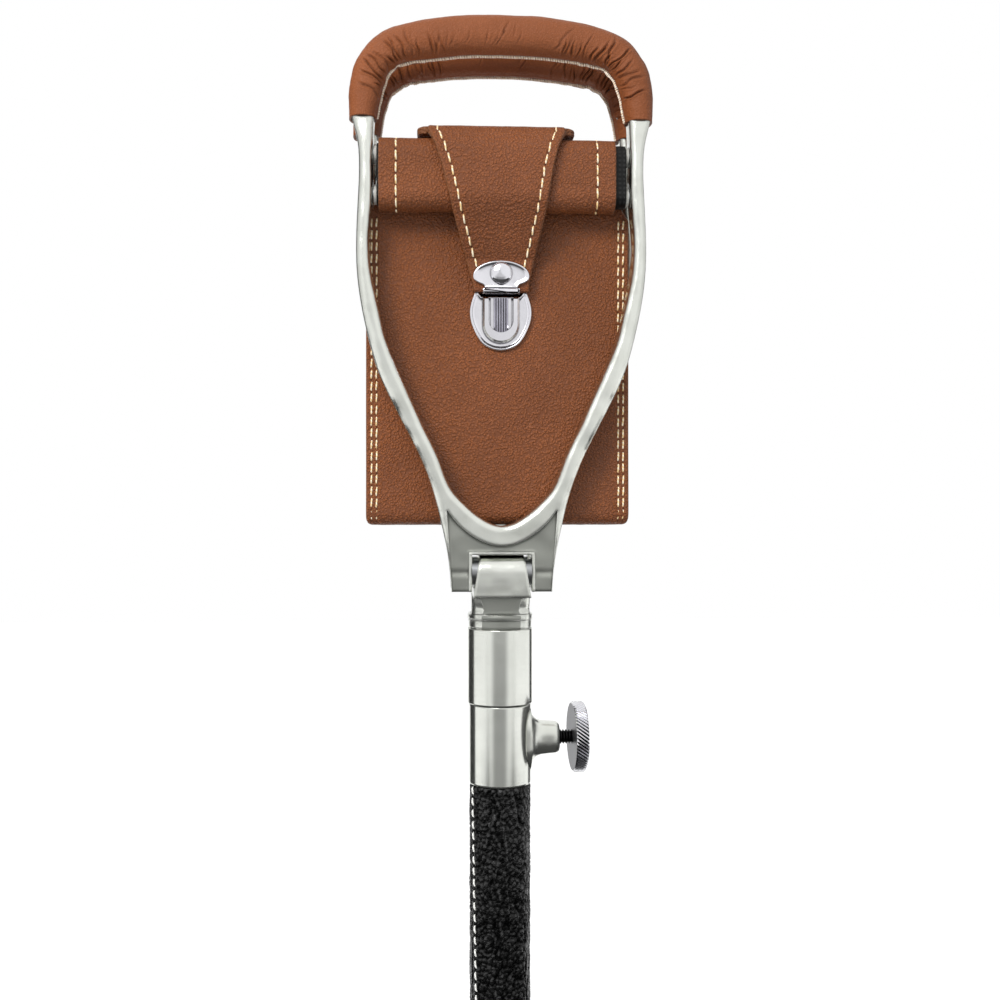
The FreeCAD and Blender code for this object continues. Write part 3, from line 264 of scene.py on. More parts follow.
@dataclass(frozen=True)
class Metal:
    """Bare or plated metal: marks of its working, a faint tarnish, and painted shade in its finest hollows.
    """

    name: str
    colour: str
    tarnish: str
    working: Working
    marks: float
    depth: float
    roughness: float
    spread: float = 0.08
    hollow_shade: float = 0.0
    hollow_shade_colour: str = "#161617"
    # Share of open space over a hollow that gets the full painted shade, and over one that gets none
    open_share: Pair = (0.45, 0.9)
    tarnish_size: float = 9.0

    def material(self) -> Material:
        """Builds the shader with its marks, gloss, tarnish and the painted shade in its hollows.

        Returns:
            The new material.
        """
        material, tree, shader = new_material(self.name)
        place = add_node(tree, "TexCoord").outputs["Object"]
        stretched = add_node(tree, "VectorMath", {0: place, 1: self.working.value}, operation="MULTIPLY")
        marks = add_node(tree, "TexNoise", {"Vector": stretched, "Scale": 1000 / self.marks,
                                            "Detail": 3.0, "Roughness": 0.55})
        height = marks.outputs["Fac"]
        colour = clouded(tree, place, self.tarnish_size, 4.0, (0.4, 0.7, 1.0), (self.colour, self.tarnish))
        # Painted shade: ambient occlusion darkens the hollows towards a near black
        if self.hollow_shade:
            full, none = self.open_share
            hollow = add_node(tree, "AmbientOcclusion", {"Distance": self.hollow_shade * MM}, samples=8)
            unshaded = add_node(tree, "MapRange", {0: hollow.outputs["AO"], 1: full, 2: none, 3: 0.06, 4: 1.0})
            dark = linear(self.hollow_shade_colour)
            colour = add_node(tree, "Mix", {0: unshaded, 6: dark, 7: colour}, data_type="RGBA").outputs[2]
        gloss = add_node(tree, "MapRange", {0: height, 1: 0.3, 2: 0.7, 3: self.roughness,
                                            4: self.roughness + self.spread})
        bump = add_node(tree, "Bump", {"Strength": 1.0, "Distance": self.depth * MM, "Height": height})
        set_inputs(shader, {"Metallic": 1.0, "Base Color": colour, "Roughness": gloss, "Normal": bump})
        return material

    def refinish(self, material: Material, mask: bpy.types.Node, colour: str, roughness: float) -> None:
        """Gives one part of the surface another colour and gloss.

        Args:
            material: The metal's own material.
            mask: Node that gives 1 on that part and 0 elsewhere.
            colour: Colour of that part.
            roughness: Its roughness.
        """
        tree = material.node_tree
        shader = tree.nodes["Principled BSDF"]
        main = [shader.inputs[name].links[0].from_socket for name in ("Base Color", "Roughness")]
        coloured = add_node(tree, "Mix", {0: mask, 6: main[0], 7: linear(colour)}, data_type="RGBA")
        dulled = add_node(tree, "Mix", {0: mask, 2: main[1], 3: roughness}, data_type="FLOAT")
        set_inputs(shader, {"Base Color": coloured.outputs[2], "Roughness": dulled})


@dataclass(frozen=True)
class CastMetal(Metal):
    """Polished casting that is greyer and duller on the flat floor of its recessed web."""

    # Grey and roughness given to the recess's flat floor
    skin: str = "#a6a8a1"
    skin_roughness: float = 0.42
    swell: float = 15.0
    swell_depth: float = 1.1
    rounding: float = 2.0
    # Where the web's recess lies: below this height, and this far from the middle plane, give or take
    web_top: float = 672.0
    recess_side: float = 13.0
    recess_half: float = 4.6

    def material(self) -> Material:
        """Builds the shader, with slow swells, soft edges and a greyer, duller finish on the recess's flat
        floor.

        Returns:
            The new material.
        """
        material = super().material()
        tree = material.node_tree
        coordinates = add_node(tree, "TexCoord")
        place = coordinates.outputs["Object"]
        swell = add_node(tree, "TexNoise", {"Vector": place, "Scale": 1000 / self.swell, "Detail": 1.0})
        rounded = add_node(tree, "Bevel", {"Radius": self.rounding * MM}, samples=6)
        waves = add_node(tree, "Bump", {"Strength": 1.0, "Distance": self.swell_depth * MM,
                                        "Height": swell.outputs["Fac"], "Normal": rounded})
        fine = tree.nodes["Principled BSDF"].inputs["Normal"].links[0].from_node
        set_inputs(fine, {"Normal": waves})
        at = add_node(tree, "SeparateXYZ", {0: place})
        facing = add_node(tree, "SeparateXYZ", {0: coordinates.outputs["Normal"]})
        flat = add_node(tree, "Math", {0: facing.outputs[1]}, operation="ABSOLUTE")
        is_flat = add_node(tree, "Math", {0: flat, 1: 0.8}, operation="GREATER_THAN")
        depth = add_node(tree, "Math", {0: at.outputs[1]}, operation="ABSOLUTE")
        inside = add_node(tree, "Math", {0: depth, 1: self.recess_side * MM,
                                         2: self.recess_half * MM}, operation="COMPARE")
        low = add_node(tree, "Math", {0: at.outputs[2], 1: self.web_top * MM}, operation="LESS_THAN")
        both = add_node(tree, "Math", {0: is_flat, 1: inside}, operation="MULTIPLY")
        mask = add_node(tree, "Math", {0: both, 1: low}, operation="MULTIPLY")
        self.refinish(material, mask, self.skin, self.skin_roughness)
        return material


@dataclass(frozen=True)
class FacedMetal(Metal):
    """Knurled metal whose flat sides across X were only turned: grey and dull."""

    face: str = "#8b8b8e"
    face_roughness: float = 0.42

    def material(self) -> Material:
        """Builds the shader, with the dull finish on the flat sides.

        Returns:
            The new material.
        """
        material = super().material()
        tree = material.node_tree
        facing = add_node(tree, "SeparateXYZ", {0: add_node(tree, "TexCoord").outputs["Normal"]})
        flat = add_node(tree, "Math", {0: facing.outputs[0]}, operation="ABSOLUTE")
        mask = add_node(tree, "Math", {0: flat, 1: 0.9}, operation="GREATER_THAN")
        self.refinish(material, mask, self.face, self.face_roughness)
        return material


@dataclass(frozen=True)
class Moulded:
    """Moulded rubber or plastic: one colour with a fine matt skin and faint clouds of wear."""

    name: str
    colour: str
    worn: str
    skin: float
    depth: float
    roughness: float
    specular: float = 0.4
    wear_size: float = 14.0
    spread: float = 0.06

    def material(self) -> Material:
        """Builds the shader with its moulded skin.

        Returns:
            The new material.
        """
        material, tree, shader = new_material(self.name)
        place = add_node(tree, "TexCoord").outputs["Object"]
        skin = add_node(tree, "TexNoise", {"Vector": place, "Scale": 1000 / self.skin, "Detail": 3.0})
        colour = clouded(tree, place, self.wear_size, 3.0, (0.45, 0.7, 0.7), (self.colour, self.worn))
        gloss = add_node(tree, "MapRange",
                         {0: skin.outputs["Fac"], 1: 0.3, 2: 0.7, 3: self.roughness - self.spread,
                          4: self.roughness + self.spread})
        bump = add_node(tree, "Bump", {"Strength": 1.0, "Distance": self.depth * MM,
                                       "Height": skin.outputs["Fac"]})
        set_inputs(shader, {"Specular IOR Level": self.specular, "Base Color": colour,
                            "Roughness": gloss, "Normal": bump})
        return material


@dataclass(frozen=True)
class Spun:
    """Spun yarn, as sewing thread or woven tape: rows of twisted strands that catch the light, with painted
    shade in the grooves between them.
    """

    name: str
    colour: str
    # Colour of the painted shade in the grooves between the strands
    shade: str
    strand: float
    depth: float
    roughness: float
    woven: bool = False
    specular: float = 0.3
    # Light and dark bands together that a wave texture of scale 1 has in a metre
    bands: float = 6.3

    def material(self) -> Material:
        """Builds the shader: slanted strands, crossed by a second set where it is woven.

        Returns:
            The new material.
        """
        material, tree, shader = new_material(self.name)
        place = add_node(tree, "TexCoord").outputs["Object"]
        wave = {"Vector": place, "Scale": 1000 / self.strand / self.bands, "Distortion": 1.2, "Detail": 1.0}
        first = add_node(tree, "TexWave", wave, bands_direction="Z" if self.woven else "DIAGONAL")
        height = first.outputs["Fac"]
        if self.woven:
            second = add_node(tree, "TexWave", wave, bands_direction="X")
            crossed = add_node(tree, "Math", {0: height, 1: second.outputs["Fac"]}, operation="MULTIPLY")
            height = crossed.outputs[0]
        # Painted shade: the grooves between the strands darken towards the shade colour
        colour = add_node(tree, "Mix", {0: height, 6: linear(self.shade), 7: linear(self.colour)},
                          data_type="RGBA")
        bump = add_node(tree, "Bump", {"Strength": 1.0, "Distance": self.depth * MM, "Height": height})
        set_inputs(shader, {"Roughness": self.roughness, "Specular IOR Level": self.specular,
                            "Base Color": colour.outputs[2], "Normal": bump})
        return material


# Vegetable tanned cowhide, milled: an even pebble about a millimetre wide with a waxy half shine
SADDLE_HIDE = Hide("milled_saddle_leather", "#8a4d24", "#7b431c", "#4a230c", "#744729", 1.0, 0.32, 0.38,
                   cloud_size=42.0, specular=0.45)
# Thin glove leather drawn tight: nearly smooth, fine pores, a little redder and less glossy
GRIP_HIDE = Hide("stretched_glove_leather", "#864a26", "#7b421f", "#6a3a1d", "#6b4630", 0.8, 0.11, 0.4,
                 specular=0.35, crease_shade_share=0.3)
# Black shrunken grain: deep pebbles that glint on their crowns, with painted shade and less shine between
# them
BLACK_HIDE = Hide("shrunken_grain_black_leather", "#040404", "#030303", "#010101", "#1c1c1c", 0.9, 0.05, 0.15,
                  specular=0.85, deep="#010101", matt_in_painted_shade=True)
# Aluminium casting, tumbled and buffed: bright, with soft ripples about three millimetres apart
CAST_ALUMINIUM = CastMetal("buffed_cast_aluminium", "#e6e8e1", "#dfe1d9", Working.CAST, 3.2, 0.012, 0.17,
                           hollow_shade=1.2)
# Aluminium turned and polished on a lathe: rings a fifth of a millimetre apart, drawn at half a millimetre
TURNED_ALUMINIUM = Metal("lathe_polished_aluminium", "#e6e8e1", "#dfe1da", Working.TURNED, 0.5, 0.003, 0.16,
                         0.04, hollow_shade=0.8)
# Bright chrome plate over brass: nearly a mirror, with the waviness of a stamped base
CHROME = Metal("chrome_plate", "#ebeaef", "#e3e2e7", Working.CAST, 2.6, 0.012, 0.11, 0.04, hollow_shade=0.9)
# The same plate on the ribbed slider, polished by thumbs until the ribs mirror light and dark
SLIDER_CHROME = Metal("thumb_polished_chrome_plate", "#e6e5ea", "#dad9de", Working.CAST, 2.6, 0.002, 0.08,
                      0.02, hollow_shade=0.25)
# Knurled and plated steel of the clamp knob: bright flanks, grey turned face
KNOB_STEEL = FacedMetal("nickel_plated_knurled_steel", "#ececef", "#dadade", Working.CAST, 0.8, 0.01, 0.16,
                        hollow_shade=0.4)
# Drawn steel rod and pressed sheet: greyer, with a long faint grain
DRAWN_STEEL = Metal("drawn_steel", "#a9abac", "#909294", Working.DRAWN, 0.6, 0.008, 0.28)
# Blackened screw steel: dark oxide with bright crests
OXIDE_STEEL = Metal("oxidised_screw_steel", "#3a3a3b", "#262627", Working.CAST, 0.7, 0.01, 0.34)
# Hard rolled spring strip: dark and smooth
SPRING_STRIP = Metal("rolled_spring_strip", "#8b8d92", "#75777c", Working.DRAWN, 0.7, 0.006, 0.25)
# Natural rubber with carbon black: matt, a little grey where it is rubbed
RUBBER = Moulded("moulded_black_rubber", "#1b1b1c", "#2b2b2a", 0.6, 0.03, 0.62)
# Moulded nylon: milky grey and slightly waxy
NYLON = Moulded("moulded_nylon", "#a9a8a2", "#98968f", 0.7, 0.01, 0.42)
# Waxed linen thread, six cords twisted: cream, with a golden painted shade in the grooves of the twist
LINEN_THREAD = Spun("waxed_linen_thread", "#f7ead0", "#e2bf84", 0.5, 0.05, 0.5)
# Bleached polyester thread of the stick's cover: clean white
WHITE_THREAD = Spun("white_polyester_thread", "#f4f4f0", "#cfcfca", 0.5, 0.05, 0.45)
# Pale fine thread that whips the grip's seam: pinkish cream
WHIP_THREAD = Spun("fine_whipping_thread", "#fff4e4", "#eed6ba", 0.4, 0.04, 0.5)
# Woven polypropylene tape: black, ribs about a millimetre wide
BLACK_TAPE = Spun("woven_black_webbing", "#1d1d1d", "#060606", 1.0, 0.2, 0.6, woven=True)


# Mesh helpers


def node_box(name: str) -> tuple[Array, Array]:
    """Lowest and highest corner in millimetres of a node of the frame."""
    low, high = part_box(name)
    return np.array(low) / MM, np.array(high) / MM


def ripple(points: Array, size: float, seed: int) -> Array:
    """Smooth random relief.

    Args:
        points: Places, with their three numbers last.
        size: Width of a wave in millimetres.
        seed: Number that fixes the pattern.

    Returns:
        Heights from about -1 to 1.
    """
    rng = np.random.default_rng(seed)
    total = np.zeros(points.shape[:-1])
    waves = 9
    for _ in range(waves):
        heading = rng.normal(size=3)
        heading /= np.linalg.norm(heading)
        turn = points @ heading * (2 * math.pi / size) * rng.uniform(0.6, 1.5)
        total += np.sin(turn + rng.uniform(0, 2 * math.pi))
    return total / math.sqrt(waves) * 0.8


def grid_quads(rows: int, cols: int, wrap_rows: bool = False, wrap_cols: bool = False) -> Faces:
    """Faces of a grid of points.

    Args:
        rows: Number of rows.
        cols: Number of points in a row.
        wrap_rows: Whether the last row joins the first.
        wrap_cols: Whether a row's last point joins its first.

    Returns:
        One list of four corners for each face.
    """
    row = np.arange(rows if wrap_rows else rows - 1)
    col = np.arange(cols if wrap_cols else cols - 1)
    r, c = np.meshgrid(row, col, indexing="ij")
    r2, c2 = (r + 1) % rows, (c + 1) % cols
    return np.stack([r * cols + c, r * cols + c2, r2 * cols + c2, r2 * cols + c], -1).reshape(-1, 4).tolist()


def tube_faces(rows: int, cols: int) -> Faces:
    """Faces of a grid whose rows are closed rings, with a cap on the first and on the last one."""
    caps = [list(range(cols))[::-1], list(range((rows - 1) * cols, rows * cols))]
    return grid_quads(rows, cols, wrap_cols=True) + caps


def distances(line: Array) -> Array:
    """Distance along a line from its first point to each of its points."""
    return np.concatenate([[0], np.cumsum(np.linalg.norm(np.diff(line, axis=0), axis=1))])


def full_turn(count: int) -> Array:
    """Angles in radians of evenly spaced points round a ring."""
    return np.linspace(0, 2 * math.pi, count, endpoint=False)


def squared_ring(turn: Array, squareness: float) -> tuple[Array, Array]:
    """Cosine and sine for a ring that is squarer than a circle, whose squareness is 2."""
    shares = np.cos(turn), np.sin(turn)
    return tuple(np.sign(share) * np.abs(share) ** (2 / squareness) for share in shares)


def strip_ripple(x: Array, s: Array, size: float, seed: int) -> Array:
    """Smooth random relief of a strip, from x and the distance along it."""
    return ripple(np.stack([x, s, 0 * x], -1), size, seed)


def grid_normals(points: Array) -> Array:
    """Unit normals of a grid whose rows are closed loops.

    Args:
        points: Grid of points, rows by columns by three.

    Returns:
        Grid of unit vectors that point out of the loops.
    """
    along = np.gradient(points, axis=0)
    around = np.roll(points, -1, axis=1) - np.roll(points, 1, axis=1)
    out = np.cross(along, around)
    out /= np.linalg.norm(out, axis=-1, keepdims=True) + 1e-9
    centre = points.mean(axis=1, keepdims=True)
    facing = np.sign(((points - centre) * out).sum(axis=(1, 2), keepdims=True))
    return out * facing


def smooth_line(points: Sequence[Sequence[float]], count: int) -> Array:
    """Evenly spaced points of a smooth line through given points.

    Args:
        points: Points of the line.
        count: Number of points wanted.

    Returns:
        The new points, one in a row.
    """
    given = np.array(points, float)
    padded = np.vstack([2 * given[0] - given[1], given, 2 * given[-1] - given[-2]])
    fine = []
    for p0, p1, p2, p3 in zip(padded, padded[1:], padded[2:], padded[3:]):
        for t in np.linspace(0, 1, 16, endpoint=False):
            fine.append(0.5 * (2 * p1 + (p2 - p0) * t + (2 * p0 - 5 * p1 + 4 * p2 - p3) * t ** 2
                               + (3 * p1 - p0 - 3 * p2 + p3) * t ** 3))
    fine = np.array(fine + [given[-1]])
    along = distances(fine)
    want = np.linspace(0, along[-1], count)
    return np.stack([np.interp(want, along, fine[:, k]) for k in range(fine.shape[1])], axis=1)


def arc(y: float, z: float, radius: float, start: float, end: float, step: float = 0.6) -> list[list[float]]:
    """Points of an arc in the YZ plane, given in degrees from +Y towards +Z, as pairs of y and z."""
    turns = np.radians(np.linspace(start, end, max(3, int(abs(math.radians(end - start)) * radius / step))))
    return [[y + radius * math.cos(a), z + radius * math.sin(a)] for a in turns]


def run(start: Sequence[float], end: Sequence[float], step: float = 0.7) -> list[list[float]]:
    """Points of a straight run without its two ends.

    Args:
        start: First end.
        end: Last end.
        step: Distance between points.

    Returns:
        The points between the ends.
    """
    a, b = np.array(start, float), np.array(end, float)
    count = max(2, int(np.linalg.norm(b - a) / step))
    return [list(a + (b - a) * k / count) for k in range(1, count)]


def make_piece(name: str, points: Array, faces: Faces, material: Material,
               marks: dict[str, Array] | None = None, crease: float | None = None) -> Piece:
    """Makes one mesh piece and links it to the scene.

    Args:
        name: Name of the piece.
        points: Its points in millimetres.
        faces: Its faces as lists of point numbers.
        material: Its finish.
        marks: Values from 0 to 1 at each point, by the name that a finish reads.
        crease: Angle in degrees above which an edge stays sharp.

    Returns:
        The new object.
    """
    mesh = bpy.data.meshes.new(name)
    mesh.from_pydata((points.reshape(-1, 3) * MM).tolist(), [], faces)
    mesh.materials.append(material)
    for mark, values in (marks or {}).items():
        layer = mesh.attributes.new(mark, "FLOAT", "POINT")
        layer.data.foreach_set("value", values.reshape(-1).astype(np.float32))
    mesh.shade_smooth()
    if crease is not None:
        mesh.set_sharp_from_angle(angle=math.radians(crease))
    mesh.update()
    piece = bpy.data.objects.new(name, mesh)
    bpy.context.scene.collection.objects.link(piece)
    LOG.info("%s: %d points", name, len(mesh.vertices))
    return piece


def facing_out(points: Array, faces: Faces) -> Faces:
    """Turns all faces over where the closed mesh would be inside out.

    Args:
        points: Points of the mesh.
        faces: Its faces.

    Returns:
        The faces, facing outwards.
    """
    flat = points.reshape(-1, 3)
    quads = np.array([f[:3] for f in faces])
    a, b, c = flat[quads[:, 0]], flat[quads[:, 1]], flat[quads[:, 2]]
    volume = np.einsum("ij,ij->i", a - flat.mean(axis=0), np.cross(b - a, c - a)).sum()
    return [f[::-1] for f in faces] if volume < 0 else faces


@dataclass
class Threads:
    """Stitches that show on a surface, each a short arched length of thread with sunken ends."""

    radius: float
    rise: float
    sink: float = 0.5
    sides: int = 8
    stitches: list[tuple[Array, Array, Array]] = field(default_factory=list)

    def add(self, start: Array, end: Array, normal: Array) -> None:
        """Adds one stitch between two places of the surface."""
        self.stitches.append((start, end, normal / np.linalg.norm(normal)))

    def piece(self, name: str, material: Material) -> Piece:
        """Makes all the stitches as one piece.

        Args:
            name: Name of the piece.
            material: Finish of the thread.

        Returns:
            The new object.
        """
        start, end, up = (np.array(part, float) for part in zip(*self.stitches))
        # Rings of one stitch: share of its length, height as a share of its rise or sink, and girth
        share = np.array([0.0, 0.07, 0.2, 0.4, 0.6, 0.8, 0.93, 1.0])
        lift = np.array([-1.0, -0.1, 0.72, 1.0, 1.0, 0.72, -0.1, -1.0])
        girth = np.array([0.6, 0.85, 1.0, 1.04, 1.04, 1.0, 0.85, 0.6]) * self.radius
        height = np.where(lift < 0, lift * self.sink, lift * self.rise)
        centre = (start[:, None] + (end - start)[:, None] * share[None, :, None]
                  + up[:, None] * height[None, :, None])
        along = end - start
        along /= np.linalg.norm(along, axis=1, keepdims=True)
        aside = np.cross(along, up)
        aside /= np.linalg.norm(aside, axis=1, keepdims=True)
        turn = full_turn(self.sides)
        ring = (aside[:, None, None] * np.cos(turn)[None, None, :, None]
                + up[:, None, None] * np.sin(turn)[None, None, :, None])
        points = centre[:, :, None] + ring * girth[None, :, None, None]
        size = len(share) * self.sides
        pattern = facing_out(points[0], tube_faces(len(share), self.sides))
        faces = [[corner + k * size for corner in face] for k in range(len(start)) for face in pattern]
        return make_piece(name, points, faces, material)


def level(x: Array, s: Array) -> Array:
    """Zero at each place of a strip."""
    return 0 * x


@dataclass(frozen=True)
class Seam:
    """A row of stitches along a strip of leather: its place, its groove and the holes of the needle."""

    # X of the row at a distance along the strip
    across: Callable[[Array | float], Array | float]
    start: float
    end: float
    pitch: float
    depth: float
    width: float
    # Distances between which the groove and the holes show
    grooved: Pair = (-math.inf, math.inf)
    holed: Pair = (-math.inf, math.inf)
    # Depth of a hole below the groove, as a share of the groove's, and its radius as a share of the width
    hole_depth: float = 0.6
    hole_radius: float = 0.34
    # How far past a stitch's start its hole lies, as a share of the pitch
    hole_lead: float = 0.12

    def from_hole(self, s: Array) -> Array:
        """Distance from the nearest hole along the strip."""
        return np.abs(((s - self.start) / self.pitch + self.hole_lead + 0.5) % 1.0 - 0.5) * self.pitch

    def hole(self, x: Array, s: Array) -> Array:
        """How far each place lies in a hole, from 0 to 1."""
        radius = self.hole_radius * self.width
        return np.exp(-((x - self.across(s)) / radius) ** 2) * np.exp(-(self.from_hole(s) / radius) ** 2)

    def hole_shade(self, x: Array, s: Array) -> Array:
        """Painted shade in the holes, from 0 to 1."""
        return 0.8 * self.hole(x, s) * ((s > self.holed[0]) & (s < self.holed[1]))

    def relief(self, x: Array, s: Array) -> Array:
        """Works out the groove, which is deepest at the holes.

        Args:
            x: X of the places.
            s: Their distances along the strip.

        Returns:
            Height to add at each place.
        """
        near = np.exp(-((x - self.across(s)) / self.width) ** 2)
        drawn = 0.55 + 0.45 * np.cos(2 * math.pi * self.from_hole(s) / self.pitch)
        total = -self.depth * near * drawn - self.hole_depth * self.depth * self.hole(x, s)
        return total * ((s > self.grooved[0]) & (s < self.grooved[1]))


@dataclass
class Band:
    """A strip of leather or tape across X that follows a line in the YZ plane."""

    line: Array
    left: Array
    right: Array
    thickness: float
    # Distances from both edges of the closer columns, and the number of columns between them
    insets: Sequence[float]
    middle: int
    outward: int = 1
    closed: bool = False
    layered: bool = False
    sway: Callable[[Array, Array], Array] = level
    # Height, size and seed of the soft swells of the hide, and the width over which they end at the edges
    swells: Sequence[tuple[float, float, int]] = ()
    edge_fade: float = 0.0
    seams: Sequence[Seam] = ()
    end_thinning: Pair = (1.0, 1.0)
    # Depth of the joint that shows in the cut edge of two layers, and its half width as a share of one
    joint_depth: float = 0.45
    joint_half: float = 0.16

    def __post_init__(self) -> None:
        """Works out the distance along the line and the directions at each point."""
        if self.closed:
            step = np.roll(self.line, -1, axis=0) - np.roll(self.line, 1, axis=0)
        else:
            step = np.gradient(self.line, axis=0)
        step /= np.linalg.norm(step, axis=1, keepdims=True)
        self.normal = np.stack([step[:, 1], -step[:, 0]], axis=1) * self.outward
        self.distance = distances(self.line)

    def hole_shade(self, x: Array, s: Array) -> Array:
        """Painted shade in the needle's holes at each place, from 0 to 1."""
        return sum((seam.hole_shade(x, s) for seam in self.seams), start=0 * x)

    def relief(self, x: Array, s: Array) -> Array:
        """Works out the swells of the hide and the grooves of the seams.

        Args:
            x: X of the places.
            s: Their distances along the line.

        Returns:
            Height to add at each place.
        """
        total = 0 * x
        for height, size, seed in self.swells:
            total = total + height * strip_ripple(x, s, size, seed)
        total = sum((seam.relief(x, s) for seam in self.seams), start=total)
        if self.edge_fade:
            left, right = (np.interp(s, self.distance, edge) for edge in (self.left, self.right))
            total = total * np.clip(np.minimum(x - left, right - x) / self.edge_fade, 0, 1)
        return total

    def columns(self) -> Array:
        """Places the columns, close together near the edges.

        Returns:
            X of every column at every point of the line.
        """
        inset = np.array(self.insets)
        share = np.linspace(0, 1, self.middle + 2)[1:-1]
        rows = []
        for a, b in zip(self.left, self.right):
            inner = a + inset[-1] + (b - a - 2 * inset[-1]) * share
            rows.append(np.concatenate([a + inset, inner, (b - inset)[::-1]]))
        return np.array(rows)

    def edge_profile(self) -> list[Pair]:
        """Shapes the cut edge, from the outer to the inner face.

        Returns:
            Inset and height of its points.
        """
        h, r = self.thickness / 2, self.insets[0]
        half = [(0.3 * r, h - 0.3 * r), (0.0, h - r)]
        core = [(0.0, 0.0)]
        if self.layered:
            core = [(0.0, self.joint_half * h), (self.joint_depth, 0.0), (0.0, -self.joint_half * h)]
        return half + core + [(i, -z) for i, z in half[::-1]]

    def at(self, x: Array, lift: Array) -> Array:
        """Grid of points at some x and some height above each point of the centre line."""
        side_view = self.line[:, None] + self.normal[:, None] * lift[..., None]
        return np.concatenate([x[..., None], side_view], axis=-1)

    def piece(self, name: str, material: Material) -> Piece:
        """Makes the strip's mesh, with its faces, edges and ends.

        Args:
            name: Name of the piece.
            material: Finish of the strip.

        Returns:
            The new object.
        """
        x = self.columns()
        s = np.repeat(self.distance[:, None], x.shape[1], axis=1)
        thin = np.ones(len(self.line))
        thin[0], thin[-1] = self.end_thinning
        half = self.thickness / 2 * thin[:, None]
        sway = self.sway(x, s)
        top = self.at(x, sway + half + self.relief(x, s))
        bottom = self.at(x, sway - half)
        right, left = [], []
        for inset, z in self.edge_profile():
            right.append(self.at(self.right[:, None] - inset, sway[:, -1:] + z * thin[:, None]))
            left.append(self.at(self.left[:, None] + inset, sway[:, :1] + z * thin[:, None]))
        loop = np.concatenate([top, *right, bottom[:, ::-1], *left[::-1]], axis=1)
        rows, cols = loop.shape[:2]
        if self.closed:
            faces = grid_quads(rows, cols, wrap_rows=True, wrap_cols=True)
        else:
            faces = tube_faces(rows, cols)
        count, edge = x.shape[1], len(right)
        painted_shade = np.zeros((rows, cols))
        # Painted shade in the needle holes
        painted_shade[:, :count] = self.hole_shade(x, s)
        cut = np.zeros((rows, cols))
        cut[:, count:count + edge] = 1.0
        cut[:, 2 * count + edge:] = 1.0
        return make_piece(name, loop, facing_out(loop, faces), material, {"painted_shade": painted_shade, "edge": cut})

    def spot(self, x: float, s: float) -> tuple[Array, Array]:
        """Place on the outer face.

        Args:
            x: X of the place.
            s: Its distance along the line.

        Returns:
            The place and the outward direction there.
        """
        y, z = (np.interp(s, self.distance, self.line[:, k]) for k in (0, 1))
        ny, nz = (np.interp(s, self.distance, self.normal[:, k]) for k in (0, 1))
        here, at = np.array([[x]]), np.array([[s]])
        lift = self.thickness / 2 + float(self.sway(here, at)[0, 0]) + float(self.relief(here, at)[0, 0])
        return np.array([x, y + ny * lift, z + nz * lift]), np.array([0.0, ny, nz])

    def sew(self, threads: Threads, share: float, leans: Sequence[float], seeds: Sequence[int]) -> None:
        """Sews the stitches of every seam.

        Args:
            threads: Where the stitches go.
            share: Share of the pitch that shows thread.
            leans: Sideways slant of the stitches of each seam.
            seeds: Number that fixes the small unevenness of each seam.
        """
        for seam, lean, seed in zip(self.seams, leans, seeds):
            rng = np.random.default_rng(seed)
            for k in range(int((seam.end - seam.start) / seam.pitch)):
                low = seam.start + k * seam.pitch + rng.uniform(-0.05, 0.05) * seam.pitch
                high = low + share * seam.pitch
                slant = lean * rng.uniform(0.6, 1.2)
                a, up = self.spot(seam.across(low) - slant / 2 + rng.uniform(-0.08, 0.08), low)
                b, _ = self.spot(seam.across(high) + slant / 2 + rng.uniform(-0.08, 0.08), high)
                threads.add(a, b, up)


@dataclass(frozen=True)
class Layout:
    """Heights and places that the soft pieces share with the frame."""

    pivot: float
    side: float
    upper_rod: float
    lower_rod: float
    roll_radius: float

    @classmethod
    def from_frame(cls) -> "Layout":
        """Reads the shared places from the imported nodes.

        Returns:
            The layout.
        """
        rods_low, rods_high = node_box("front_cross_rods")
        pins_low, pins_high = node_box("pivot_pins")
        roll_low, roll_high = node_box("front_rod_roll")
        rod = (rods_high[1] - rods_low[1]) / 2
        return cls((pins_low[2] + pins_high[2]) / 2, -(rods_low[1] + rods_high[1]) / 2, rods_high[2] - rod,
                   rods_low[2] + rod, (roll_high[1] - roll_low[1]) / 2)

    def stadium(self, side: Side, radius: float, step: float = 0.6) -> Array:
        """Closed line round both rods of a frame.

        Args:
            side: Which frame.
            radius: Distance from the rods' axes.
            step: Distance between points.

        Returns:
            The points as y and z.
        """
        y = side.value * self.side
        low, high = self.lower_rod, self.upper_rod
        points = run((y + radius, low), (y + radius, high), step)
        points += arc(y, high, radius, 0, 180, step)
        points += run((y - radius, high), (y - radius, low), step)
        points += arc(y, low, radius, 180, 360, step)
        return np.array(points)


# Sub-assemblies


